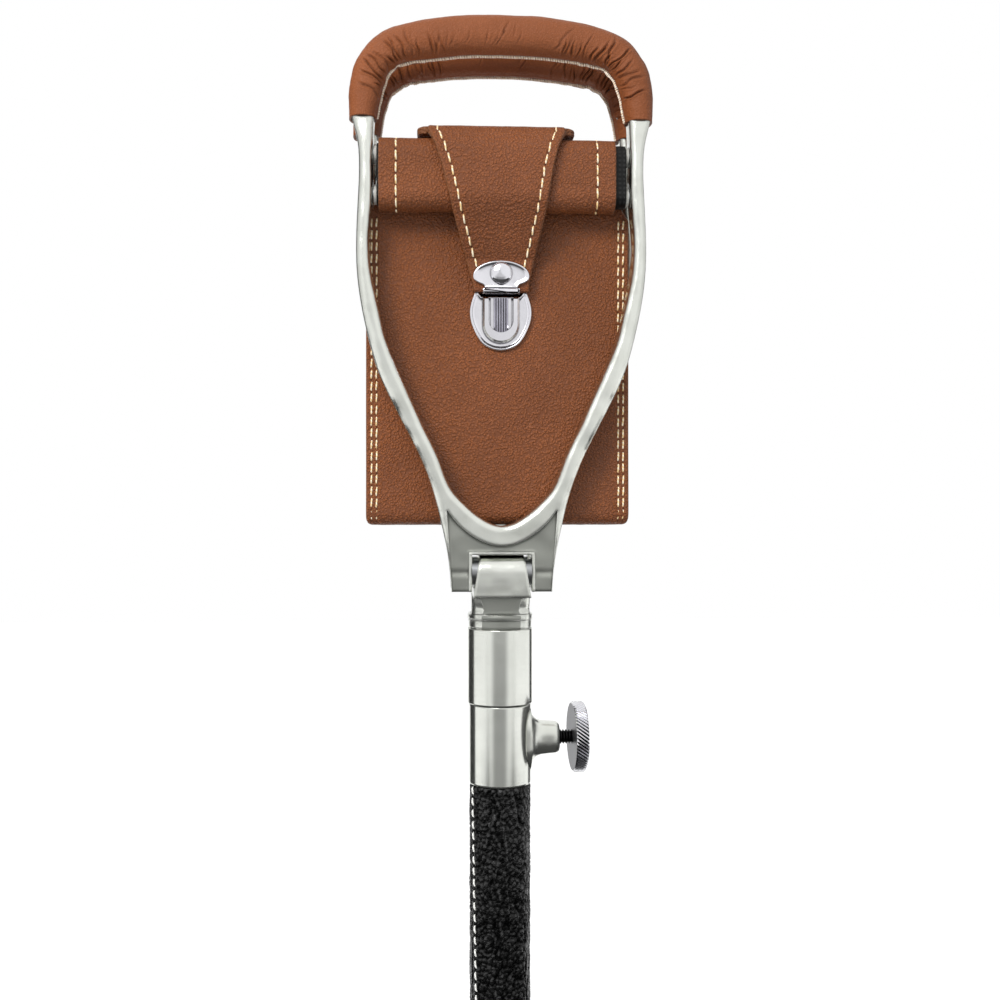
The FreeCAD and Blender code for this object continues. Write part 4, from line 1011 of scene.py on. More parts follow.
@dataclass
class Grip:
    """Leather sewn round the handle bar of one frame: drawn into wrinkles at its two bends."""

    layout: Layout
    side: Side
    # Half width and height above the pins of the outline, from the arm to the middle
    outer: Pairs = (
        (65.1, 193.2), (65.1, 203.3), (64.3, 210.3), (62.9, 216.0), (60.3, 220.8), (56.5, 225.9),
        (51.0, 230.0), (43.5, 233.2), (31.0, 236.1), (16.0, 237.8), (0.0, 238.3))
    inner: Pairs = (
        (53.3, 193.2), (52.1, 200.5), (50.8, 205.5), (49.6, 209.4), (48.1, 212.5), (45.8, 215.1),
        (42.4, 217.0), (36.5, 218.5), (26.5, 219.9), (13.5, 221.1), (0.0, 221.4))
    half_depth: float = 7.6
    squareness: float = 2.35
    stations: int = 820
    around: int = 80
    crease_width: float = 0.4
    crease_depth: float = 1.0
    # Wrinkles of each bend on each face, how far from the end they start and over what length they lie
    corner_creases: int = 16
    corner_start: float = 12.0
    corner_length: float = 46.0
    top_creases: int = 12
    top_margin: float = 50.0
    # Lumps of the gathered leather beside the seam: their height, and the middle and width of the bend
    lumps: float = 0.4
    bend_place: float = 33.0
    bend_width: float = 16.0
    # Depth of the seam, its half width as an angle, and the same of the two bulges beside it
    seam_depth: float = 0.45
    seam_half: float = 0.07
    bulge_height: float = 0.28
    bulge_place: float = 0.17
    bulge_half: float = 0.09
    whip_pitch: float = 1.15
    whip_radius: float = 0.4
    whip_reach: float = 0.55
    # Share of the way to the middle that the leather turns in at its ends, and how far up it is tucked
    lip_share: float = 0.2
    tuck: float = 1.5

    def edges(self) -> tuple[Array, Array]:
        """Draws the grip's two lines, from the left arm over the top to the right arm.

        Returns:
            Points of the outer and of the inner line, as x and z.
        """
        lines = []
        for half in (self.outer, self.inner):
            right = [(w, self.layout.pivot + h) for w, h in half]
            full = [(-w, z) for w, z in right] + right[:-1][::-1]
            lines.append(np.array(full))
        both = smooth_line(np.hstack(lines), self.stations)
        return both[:, :2], both[:, 2:]

    def creases(self, u: Array, turn: Array, half_length: float) -> Array:
        """Relief of the wrinkles.

        Args:
            u: Distance along the grip from its middle.
            turn: Angle round the section, 0 outside and pi at the seam.
            half_length: Half length of the grip.

        Returns:
            Height to add at each place.
        """
        rng = np.random.default_rng(11 + self.side.value)
        total = np.zeros_like(u)
        from_seam = np.abs(turn - math.pi)
        for face in (-1, 1):
            on_face = (np.sign(math.pi - turn) == face) | (from_seam < 0.05)
            for end in (-1, 1):
                for k in range(self.corner_creases):
                    share = (k + rng.uniform(-0.35, 0.35)) / self.corner_creases
                    at = end * (half_length - self.corner_start - self.corner_length * share)
                    reach = rng.uniform(0.42, 0.78) * math.pi * (1.0 - 0.25 * abs(share - 0.45))
                    depth = self.crease_depth * rng.uniform(0.45, 1.1) * (1 - 0.5 * abs(share - 0.45))
                    slant = end * rng.uniform(-2.2, 1.2)
                    self.press(total, u, from_seam, on_face, at, slant, 0.12 * math.pi, reach, depth, rng)
            for _ in range(self.top_creases):
                at = rng.uniform(-half_length + self.top_margin, half_length - self.top_margin)
                start = rng.uniform(0.2, 0.42) * math.pi
                slant = rng.uniform(2.5, 5.5)
                end = start + rng.uniform(0.2, 0.38) * math.pi
                depth = self.crease_depth * rng.uniform(0.25, 0.5)
                self.press(total, u, from_seam, on_face, at, slant, start, end, depth, rng)
        return total

    def press(self, total: Array, u: Array, from_seam: Array, on_face: Array, at: float,
              slant: float, start: float, end: float, depth: float, rng: np.random.Generator) -> None:
        """Presses one crease into the relief.

        Args:
            total: Relief so far, which is changed.
            u: Distance along the grip.
            from_seam: Angle from the seam.
            on_face: Which places the crease may touch.
            at: Where the crease crosses the middle of the face.
            slant: How far it leans along the grip.
            start: Angle from the seam where it starts.
            end: Angle from the seam where it ends.
            depth: Its depth.
            rng: Source of its small bends.
        """
        bend = 0.5 * np.sin(from_seam * rng.uniform(3, 6) + rng.uniform(0, 6))
        across = u - at - slant * (from_seam - math.pi / 2) - bend
        window = np.clip((from_seam - start) / 0.3, 0, 1) * np.clip((end - from_seam) / 0.45, 0, 1)
        width = self.crease_width * rng.uniform(0.85, 1.5)
        valley = np.exp(-(across / width) ** 2)
        flanks = np.exp(-((np.abs(across) - 2.1 * width) / (1.3 * width)) ** 2)
        total += on_face * window * depth * (0.34 * flanks - valley)

    def relief(self, points: Array, u: Array, turn: Array) -> tuple[Array, Array]:
        """Works out the wrinkles, the lumps and the seam.

        Args:
            points: Grid of the smooth leather.
            u: Distance along the grip from its middle, at each row.
            turn: Angle round the section, at each column.

        Returns:
            Height to add at each point, and the painted shade in the wrinkles from 0 to 1.
        """
        along, angle = np.meshgrid(u, turn, indexing="ij")
        from_seam = np.abs(angle - math.pi)
        relief = self.creases(along, angle, u[-1])
        # Painted shade that darkens the wrinkles
        fold_shade = np.clip(-relief / self.crease_depth - 0.12, 0, 1) * 0.75
        corner = np.exp(-((np.abs(along) - (u[-1] - self.bend_place)) / self.bend_width) ** 2)
        relief += self.lumps * corner * np.exp(-(from_seam / 0.8) ** 2) * ripple(points, 4.2, 5)
        relief += 0.16 * ripple(points, 17, 8 + self.side.value) + 0.05 * ripple(points, 5, 9)
        seam = np.abs(from_seam - 0.02)
        relief += (self.bulge_height * np.exp(-((seam - self.bulge_place) / self.bulge_half) ** 2)
                   - self.seam_depth * np.exp(-(seam / self.seam_half) ** 2))
        return relief, fold_shade

    def build(self) -> None:
        """Builds the leather and its whipped seam."""
        outer, inner = self.edges()
        y0 = self.side.value * self.layout.side
        centre = (outer + inner) / 2
        across = (outer - inner) / 2
        half = np.linalg.norm(across, axis=1, keepdims=True)
        unit = across / half
        u = distances(centre)
        u -= u[-1] / 2
        turn = full_turn(self.around)
        rise, depth = squared_ring(turn, self.squareness)
        x = centre[:, :1] + unit[:, :1] * half * rise
        z = centre[:, 1:] + unit[:, 1:] * half * rise
        y = np.broadcast_to(y0 - self.half_depth * depth, x.shape)
        points = np.stack([x, y, z], axis=-1)
        relief, fold_shade = self.relief(points, u, turn)
        normals = grid_normals(points)
        points = points + normals * relief[..., None]
        grip = self.shell(points, fold_shade, centre)
        stitches = self.whip(points, normals, u)
        body = f"{self.side.word}_frame"
        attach(grip, body)
        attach(stitches, body)
        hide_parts(f"{self.side.word}_grip_leather")

    def shell(self, points: Array, fold_shade: Array, centre: Array) -> Piece:
        """Closes the leather's two ends with a cut edge round the arm and makes the mesh.

        Args:
            points: Grid of the leather's outer face.
            fold_shade: Painted shade in the wrinkles at each point, from 0 to 1.
            centre: Centre line.

        Returns:
            The new object.
        """
        y0 = self.side.value * self.layout.side
        middle = np.stack([centre[:, 0], np.full(len(centre), y0), centre[:, 1]], axis=-1)
        tucked = []
        for end in (0, -1):
            lip = points[end] + (middle[end] - points[end]) * self.lip_share
            tucked.append(np.stack([lip, lip + (0, 0, self.tuck)]))
        grid = np.concatenate([tucked[0][::-1], points, tucked[1]])
        rows, cols = grid.shape[:2]
        edge = np.zeros((rows, cols))
        edge[:2] = edge[-2:] = 1.0
        none = np.zeros((2, cols))
        return make_piece(f"{self.side.word}_grip", grid, facing_out(grid, tube_faces(rows, cols)),
                          GRIP_HIDE.material(), {"edge": edge, "painted_shade": np.concatenate([none, fold_shade, none])})

    def whip(self, points: Array, normals: Array, u: Array) -> Piece:
        """Sews the whipped seam along the inside of the grip.

        Args:
            points: Grid of the leather.
            normals: Its directions outwards.
            u: Distance along the grip at each row.

        Returns:
            The stitches.
        """
        threads = Threads(self.whip_radius, 0.5, 0.35, 6)
        column = self.around // 2
        rng = np.random.default_rng(3)
        for at in np.arange(u[0] + 0.8, u[-1] - 0.8, self.whip_pitch):
            row = int(np.searchsorted(u, at))
            ahead = min(row + 3, len(u) - 1)
            up = normals[row, column]
            aside = np.array([0.0, self.whip_reach, 0.0])
            lean = (points[ahead, column] - points[row, column]) * 0.55
            place = points[row, column] + up * 0.35
            jitter = rng.uniform(0.85, 1.15)
            threads.add(place - aside * jitter - lean, place + aside * jitter + lean, up)
        return threads.piece(f"{self.side.word}_grip_whipping", WHIP_THREAD.material())


@dataclass
class Roll:
    """Leather roll and the woven tape below it, round the two cross rods of one frame."""

    layout: Layout
    side: Side
    left: float
    right: float
    leather: float = 2.1
    tape: float = 1.7
    # The loose edges of the tape outside the leather: from this x on, they wave this far
    tape_loose: float = 52.4
    tape_wave: float = 0.12
    stitch_inset: float = 7.4
    stitch_pitch: float = 4.98
    first_stitch: float = 5.4
    thread: float = 0.4
    groove_depth: float = 0.32
    groove_width: float = 1.3
    tape_insets: Sequence[float] = (0.35, 0.8, 1.3)
    insets: Sequence[float] = (0.5, 1.0, 1.7, 2.6, 3.6, 4.6, 5.4, 6.0, 6.5, 6.9, 7.2, 7.4, 7.6, 7.9, 8.2, 8.6,
                               9.2, 10.0)

    def wind(self, radius: float, left: float, right: float, **settings: object) -> Band:
        """Winds a strip round both rods, its middle at a radius from their axes."""
        line = self.layout.stadium(self.side, radius)
        return Band(line, np.full(len(line), left), np.full(len(line), right), closed=True, **settings)

    def build(self) -> None:
        """Builds the tape, the leather and its two stitched columns."""
        word = self.side.word
        tape_low, tape_high = node_box(f"{word}_rod_webbing")
        tape_radius = (tape_high[1] - tape_low[1]) / 2
        tape = self.wind(tape_radius - self.tape / 2, tape_low[0], tape_high[0], thickness=self.tape,
                         insets=self.tape_insets, middle=30, layered=True,
                         sway=lambda x, s: self.tape_wave * np.sin(s / 2.3) * (np.abs(x) > self.tape_loose))
        webbing = tape.piece(f"{word}_webbing", BLACK_TAPE.material())
        radius = self.layout.roll_radius - self.leather / 2
        end = distances(self.layout.stadium(self.side, radius))[-1] - 0.5
        columns = (self.left + self.stitch_inset, self.right - self.stitch_inset - 0.6)
        seams = [Seam(lambda s, c=column: c, self.first_stitch, end, self.stitch_pitch, self.groove_depth,
                      self.groove_width) for column in columns]
        band = self.wind(radius, self.left, self.right, thickness=self.leather, insets=self.insets, middle=34,
                         seams=seams, swells=((0.13, 21, 4 + self.side.value), (0.05, 6, 6)), edge_fade=1.5)
        leather = band.piece(f"{word}_roll_leather", SADDLE_HIDE.material())
        threads = Threads(self.thread, 0.66, 0.2)
        band.sew(threads, 0.84, (0.25, 0.25), (21, 22))
        stitches = threads.piece(f"{word}_roll_stitches", LINEN_THREAD.material())
        for piece in (webbing, leather, stitches):
            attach(piece, f"{word}_frame")
        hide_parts(f"{word}_rod_webbing")
        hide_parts(f"{word}_rod_roll")


@dataclass
class Sling:
    """Seat of leather that hangs folded between the rolls, as a front and a rear half."""

    layout: Layout
    thickness: float = 2.4
    outer_y: float = 5.7
    fold_z: float = 652.5
    top_extra: float = 0.5
    # Height above which the edges run inwards, and how far
    notch: Pair = (780.0, 5.6)
    left: float = -58.4
    right: float = 56.2
    # How much narrower the rear half is on the left and on the right
    rear_inset: Pair = (0.8, 0.6)
    corner: float = 3.2
    # The lower corners are rounded over this many times their width
    corner_stretch: float = 1.6
    rows: Pair = (2.45, 4.6)
    pitch: float = 5.05
    first_stitch: float = 4.0
    thread: float = 0.37
    groove_depth: float = 0.26
    groove_width: float = 0.95
    # Margin of leather that a row keeps where the notch cuts it off
    row_margin: float = 0.9
    # Depth and length of its slow waves
    wave: float = 0.9
    wave_size: float = 75.0
    # Lengths over which the waves grow, above the fold and below the roll
    fades: Pair = (25.0, 30.0)
    # Height above the fold's centre where the leather bends no more as the seat opens
    bend_reach: float = 18.0
    insets: Sequence[float] = (0.7, 1.2, 1.7, 2.1, 2.3, 2.45, 2.6, 2.85, 3.2, 3.6, 4.0, 4.3, 4.48, 4.6, 4.72,
                               4.95, 5.4, 6.2)

    def half(self, side: Side) -> None:
        """Builds one half with its double rows of stitches.

        Args:
            side: Front or rear half.
        """
        middle = self.outer_y - self.thickness / 2
        sign = side.value
        top = self.layout.lower_rod + self.top_extra
        points = arc(0, self.fold_z, middle, 270, 270 + sign * 90, 0.55)
        points += run((sign * middle, self.fold_z), (sign * middle, top), 0.75)
        line = np.array(points + [[sign * middle, top]])
        lowered = distances(line)
        low_corner = np.clip(1 - lowered / (self.corner * self.corner_stretch), 0, 1)
        round_in = self.corner * (1 - np.sqrt(1 - low_corner ** 2))
        inside = (0.0, 0.0) if side is Side.FRONT else self.rear_inset
        edges = self.left + inside[0], self.right - inside[1]
        notch_start, notch_width = self.notch
        notch_height = top - notch_start
        narrow = np.clip((line[:, 1] - notch_start) / notch_height, 0, 1) * notch_width
        left, right = edges[0] + round_in + narrow, edges[1] - round_in - narrow
        rows = [at for inset in self.rows for at in (edges[0] + inset, edges[1] - inset)]
        sewn_to = [lowered[-1] - notch_height * (1 - (inset - self.row_margin) / notch_width)
                   for inset in self.rows for _ in edges]
        seams = [Seam(lambda s, c=at: c, self.first_stitch, end, self.pitch, self.groove_depth,
                      self.groove_width, holed=(-math.inf, end)) for at, end in zip(rows, sewn_to)]

        def sway(x: Array, s: Array) -> Array:
            """Slow waves of the hanging leather, inwards only, none at the fold and at the roll."""
            fade = np.clip(s / self.fades[0], 0, 1) * np.clip((lowered[-1] - s) / self.fades[1], 0, 1)
            return self.wave * fade * (np.clip(strip_ripple(x, s, self.wave_size, 31 + sign), -1, 1) - 1) / 2

        band = Band(line, left, right, self.thickness, self.insets, 44, outward=sign, sway=sway,
                    seams=seams, swells=((0.05, 8, 14 + sign),), end_thinning=(1.0, 0.35))
        leather = band.piece(f"{side.word}_sling", SADDLE_HIDE.material())
        threads = Threads(self.thread, 0.3, 0.4)
        band.sew(threads, 0.82, (0.3,) * 4, (40, 41, 42, 43))
        stitches = threads.piece(f"{side.word}_sling_stitches", LINEN_THREAD.material())
        for piece in (leather, stitches):
            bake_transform(piece)
        replaced = [f"{side.word}_panel"] + (["sling_fold"] if side is Side.FRONT else [])
        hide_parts(*replaced)

    def build(self) -> None:
        """Builds both halves, which meet along the bottom of the fold."""
        for side in Side:
            self.half(side)


@dataclass
class Strap:
    """Closing strap: sewn round the rear roll, over both rolls and down to the clasp."""

    layout: Layout
    thickness: float = 3.2
    gap: float = 0.3
    anchor_drop: float = 12.0
    crest: float = 2.0
    rear_half: float = 34.0
    shoulder: float = 3.6
    # Height and half width of the front part, from its bend down to the tip
    taper: Pairs = ((747.0, 12.0), (751.0, 12.3), (761.0, 14.7), (780.7, 19.9),
                    (799.6, 23.9), (808.0, 26.4), (814.2, 29.4))
    land: Pair = (-8.8, 761.7)
    tip: float = 747.6
    lean: float = 28.4
    # How far the front part leans aside, at the upper rod and at its tip
    drift: Pair = (-2.2, 0.2)
    stitch_inset: float = 3.9
    pitch: float = 4.95
    thread: float = 0.4
    groove_depth: float = 0.3
    groove_width: float = 1.15
    # Where the stitching starts and ends along the rear part
    rear_sewn: Pair = (2.0, 11.0)
    # Where it starts along the front part, and how far before the tip it ends
    front_sewn: Pair = (15.5, 7.5)
    end_share: float = 0.7
    insets: Sequence[float] = (0.9, 1.3, 1.8, 2.3, 2.8, 3.2, 3.5, 3.75, 3.9, 4.05, 4.3, 4.6, 5.0, 5.6)

    def band(self, points: Array, half: Array, sewn: Pair, seed: int, ends: Pair) -> tuple[Band, Threads]:
        """Makes one half of the strap with its two rows of stitches.

        Args:
            points: Its centre line.
            half: Half width at each point of the line.
            sewn: Distances along the line where the rows start and end.
            seed: Number that fixes the unevenness.
            ends: Share of the thickness at both ends.

        Returns:
            The band and its stitches.
        """
        distance = distances(points)
        middle = np.interp(points[:, 1], (self.tip, self.layout.upper_rod), self.drift[::-1])
        shown = (sewn[0] - 0.6, sewn[1] + 0.6)
        seams = [Seam(lambda s, e=end: np.interp(s, distance, middle)
                      + e * (np.interp(s, distance, half) - self.stitch_inset), *sewn, self.pitch,
                      self.groove_depth, self.groove_width, grooved=shown, holed=shown) for end in (-1, 1)]
        band = Band(points, middle - half, middle + half, self.thickness, self.insets, 30, layered=True,
                    seams=seams, swells=((0.09, 15, seed), (0.04, 5, seed + 1)), edge_fade=1.2,
                    end_thinning=ends)
        threads = Threads(self.thread, 0.34, 0.4)
        band.sew(threads, 0.88, (-0.55, 0.55), (seed + 6, seed + 8))
        return band, threads

    def lines(self) -> tuple[Array, Array]:
        """Draws the strap's line behind and in front of its middle.

        Returns:
            Points of both lines as y and z, the rear one from the anchor and the front one to the tip.
        """
        side, low, high = self.layout.side, self.layout.lower_rod, self.layout.upper_rod
        radius = self.radius
        top = high + radius
        rear = [[side + radius, high - self.anchor_drop]]
        rear += run(rear[0], (side + radius, high), 0.6) + arc(side, high, radius, 0, 90, 0.55)
        rear += run((side, top), (0, top), 0.6) + [[0.0, top]]
        front = [[0.0, top]] + run((0, top), (-side, top), 0.6) + arc(-side, high, radius, 90, 180, 0.55)
        front += run((-side - radius, high), (-side - radius, low), 0.6)
        front += arc(-side, low, radius, 180, 180 + self.lean, 0.55)
        front += run(front[-1], self.land, 0.6) + run(self.land, (self.land[0], self.tip), 0.6)
        front += [[self.land[0], self.tip]]
        raised = 1 + self.crest / radius
        rear, front = (np.array([[y, high + max(z - high, 0) * raised + min(z - high, 0)] for y, z in line])
                       for line in (rear, front))
        return rear, front

    @property
    def radius(self) -> float:
        """Distance of the strap's middle from the rods' axes, where it lies on the rolls."""
        return self.layout.roll_radius + self.gap + self.thickness / 2

    def build(self) -> None:
        """Builds the rear and the front half."""
        rear, front = self.lines()
        rear_band = self.band(rear, np.full(len(rear), self.rear_half), self.rear_sewn, 61,
                              (self.end_share, 1.0))
        front_end = distances(front)[-1] - self.front_sewn[1]
        front_band = self.band(front, self.front_width(front), (self.front_sewn[0], front_end), 71,
                               (1.0, self.end_share))
        side, high = self.layout.side, self.layout.upper_rod
        top = high + self.radius
        # Each half with the bodies it bends between, where the bend starts and ends, and what it replaces
        halves = (
            ("strap_rear", *rear_band, "rear_frame", "strap_bridge", (0, side, top), (0, 2.0, top),
             ("strap_anchor", "strap_bridge")),
            ("strap_front", *front_band, "strap_bridge", "strap_flap", (0, -side + 4, top),
             (0, -side - self.radius, high - 3), ("strap_flap", "strap_end")))
        for name, band, threads, first, second, start, end, nodes in halves:
            leather = band.piece(name, SADDLE_HIDE.material())
            stitches = threads.piece(f"{name}_stitches", LINEN_THREAD.material())
            for piece in (leather, stitches):
                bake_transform(piece)
            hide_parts(*nodes)

    def front_width(self, points: Array) -> Array:
        """Half width of the front half, which steps in at its shoulder on the front roll's crest.

        Args:
            points: Centre line.

        Returns:
            Half width at each of its points.
        """
        heights, halves = zip(*self.taper)
        on_front = np.interp(points[:, 1], heights, halves)
        past = np.clip((-points[:, 0] - self.layout.side + self.shoulder) / self.shoulder, 0, 1)
        past = np.where(points[:, 1] > self.layout.upper_rod, past, 1)
        step = 1 - np.sqrt(1 - past ** 2)
        return self.rear_half + (on_front - self.rear_half) * step


@dataclass
class StickCover:
    """Black leather sewn into a tube round the lower stick, with one stitched seam along it."""

    rows: int = 860
    around: int = 172
    pebble: float = 1.95
    pebble_depth: float = 0.45
    # How far the pebbles are pushed about, over what width, and their height for each width
    push: float = 0.3
    push_size: float = 7.0
    squash: float = 0.72
    # Widths of a valley and of a pebble's flank, as shares of the pebble
    valley_width: float = 0.28
    flank_width: float = 0.26
    crease_depth: float = 0.45
    crease_half: float = 0.07
    leather: float = 1.45
    # Distance from the seam of the lengthwise ridges of the pulled leather, their height and half width
    pulls: Sequence[float] = (9.0, 12.2, 15.6)
    pull_height: float = 0.5
    pull_half: float = 0.8
    pull_wander: float = 1.3
    # The groove along the edge that overlaps: distance from the seam, depth and half width
    lap_place: float = -2.6
    lap_depth: float = 0.45
    lap_half: float = 0.5
    # The rounded ends: height over which the leather turns in, and how far
    end_height: float = 0.8
    end_drop: float = 0.5
    seam_top: float = -64.0
    seam_turn: float = 0.125
    seam_straight: float = 130.0
    stitch_pitch: float = 5.0
    stitch_share: float = 0.7
    thread: float = 0.44

    def seam(self, z: Array | float, top: float) -> Array | float:
        """Angle of the seam in radians, from the front towards +X, at a height."""
        return np.radians(self.seam_top + self.seam_turn * np.minimum(top - z, self.seam_straight))

    def grain(self, flat: Array) -> tuple[Array, Array]:
        """Pebbles of the shrunken hide, with longer creases between groups of them.

        Args:
            flat: Grid of the smooth cover.

        Returns:
            Height at each point, and how deep it lies between the pebbles from 0 to 1.
        """
        warped = flat + self.push * np.stack([ripple(flat, self.push_size, k) for k in (1, 2, 3)], -1)
        warped[..., 2] *= self.squash
        cells = []
        for point in warped.reshape(-1, 3) / self.pebble:
            near = noise.voronoi(Vector(point))[0]
            cells.append(near[1] - near[0])
        gap = np.array(cells).reshape(flat.shape[:2])
        valley = np.clip(1 - gap / self.valley_width, 0, 1) ** 1.3
        crown = np.clip(gap / self.flank_width - 0.12, 0, 1)
        strong = 0.5 + 0.5 * np.clip(0.5 + ripple(flat * (1, 1, 0.4), 18, 17), 0, 1)
        relief = -self.pebble_depth * valley * strong + 0.12 * ripple(flat, 11, 12)
        crease = np.abs(ripple(flat * (1, 1, 0.45), 9, 19))
        relief -= self.crease_depth * np.exp(-(crease / self.crease_half) ** 2)
        # Painted shade everywhere off the pebbles' crowns and along the long creases
        return relief, np.maximum(0.96 * (1 - crown), 0.9 * np.exp(-(crease / 0.08) ** 2))

    def sewn(self, relief: Array, flat: Array, from_seam: Array) -> Array:
        """Adds the ridges of the pulled leather and the seam to the grain.

        Args:
            relief: Height of the grain.
            flat: Grid of the smooth cover.
            from_seam: Distance of each point from the seam round the cover.

        Returns:
            Height at each point.
        """
        for place in self.pulls:
            off = from_seam - place - self.pull_wander * ripple(flat * (0, 0, 1), 14, int(place))
            relief = relief + (self.pull_height * np.exp(-(off / self.pull_half) ** 2)
                               - 0.6 * np.exp(-((off - 1.2) / 0.4) ** 2))
        calm = 1 - 0.7 * np.exp(-(from_seam / 1.5) ** 2)
        relief = relief * calm - 0.3 * np.exp(-(from_seam / 1.0) ** 2)
        relief -= self.lap_depth * np.exp(-((from_seam - self.lap_place) / self.lap_half) ** 2)
        return relief + 0.35 * np.exp(-((from_seam + 0.2) / 2.2) ** 2)

    def build(self) -> None:
        """Builds the cover and its stitches."""
        low, high = node_box("tube_leather")
        radius = (high[0] - low[0]) / 2 + 0.1
        z = np.linspace(low[2], high[2], self.rows)[:, None]
        turn = full_turn(self.around)[None]
        angle = self.seam(z, high[2]) + turn
        flat = np.stack([radius * np.sin(angle), -radius * np.cos(angle), z + 0 * angle], -1)
        from_seam = radius * ((turn + math.pi) % (2 * math.pi) - math.pi)
        from_seam = np.broadcast_to(from_seam, angle.shape)
        relief, painted_shade = self.grain(flat)
        relief = self.sewn(relief, flat, from_seam)
        phase = np.abs(((high[2] - z) / self.stitch_pitch + 0.5) % 1.0 - 0.5) * self.stitch_pitch
        # Painted shade in the stitch holes along the seam
        painted_shade = np.maximum(painted_shade, np.exp(-(from_seam / 0.6) ** 2) * np.exp(-(phase / 0.6) ** 2))
        ends = np.clip(np.minimum(z - low[2], high[2] - z) / self.end_height, 0, 1)
        relief = relief * ends - self.end_drop * (1 - ends)
        scale = (radius + relief) / radius
        points = flat * np.stack([scale, scale, np.ones_like(scale)], -1)
        thinner = 1 - self.leather / radius
        inner = flat[[0, -1]] * (thinner, thinner, 1.0)
        grid = np.concatenate([inner[:1], points, inner[1:]])
        faces = grid_quads(*grid.shape[:2], wrap_rows=True, wrap_cols=True)
        painted_shade = np.concatenate([0 * painted_shade[:1], painted_shade, 0 * painted_shade[:1]])
        edge = np.zeros_like(painted_shade)
        edge[0] = edge[-1] = 1.0
        cover = make_piece("stick_cover", grid, facing_out(grid, faces), BLACK_HIDE.material(),
                           {"painted_shade": painted_shade, "edge": edge})
        threads = self.stitches(radius, low[2], high[2])
        for piece in (cover, threads):
            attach(piece, "lower_stick")
        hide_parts("tube_leather")

    def stitches(self, radius: float, low: float, high: float) -> Piece:
        """Sews the seam.

        Args:
            radius: Radius of the cover.
            low: Height of its lower end.
            high: Height of its upper end.

        Returns:
            The stitches.
        """
        threads = Threads(self.thread, 0.3, 0.45)
        rng = np.random.default_rng(29)
        for k in range(int((high - low - 4) / self.stitch_pitch)):
            start = high - 0.3 - k * self.stitch_pitch + rng.uniform(-0.2, 0.2)
            end = start - self.stitch_pitch * self.stitch_share
            ends = []
            for z, aside in ((start, -0.02), (end, 0.03)):
                a = self.seam(z, high) + aside + rng.uniform(-0.008, 0.008)
                ends.append(np.array([radius * math.sin(a), -radius * math.cos(a), z]))
            middle = (ends[0] + ends[1]) / 2
            threads.add(ends[0], ends[1], np.array([middle[0], middle[1], 0.0]))
        return threads.piece("stick_cover_stitches", WHITE_THREAD.material())


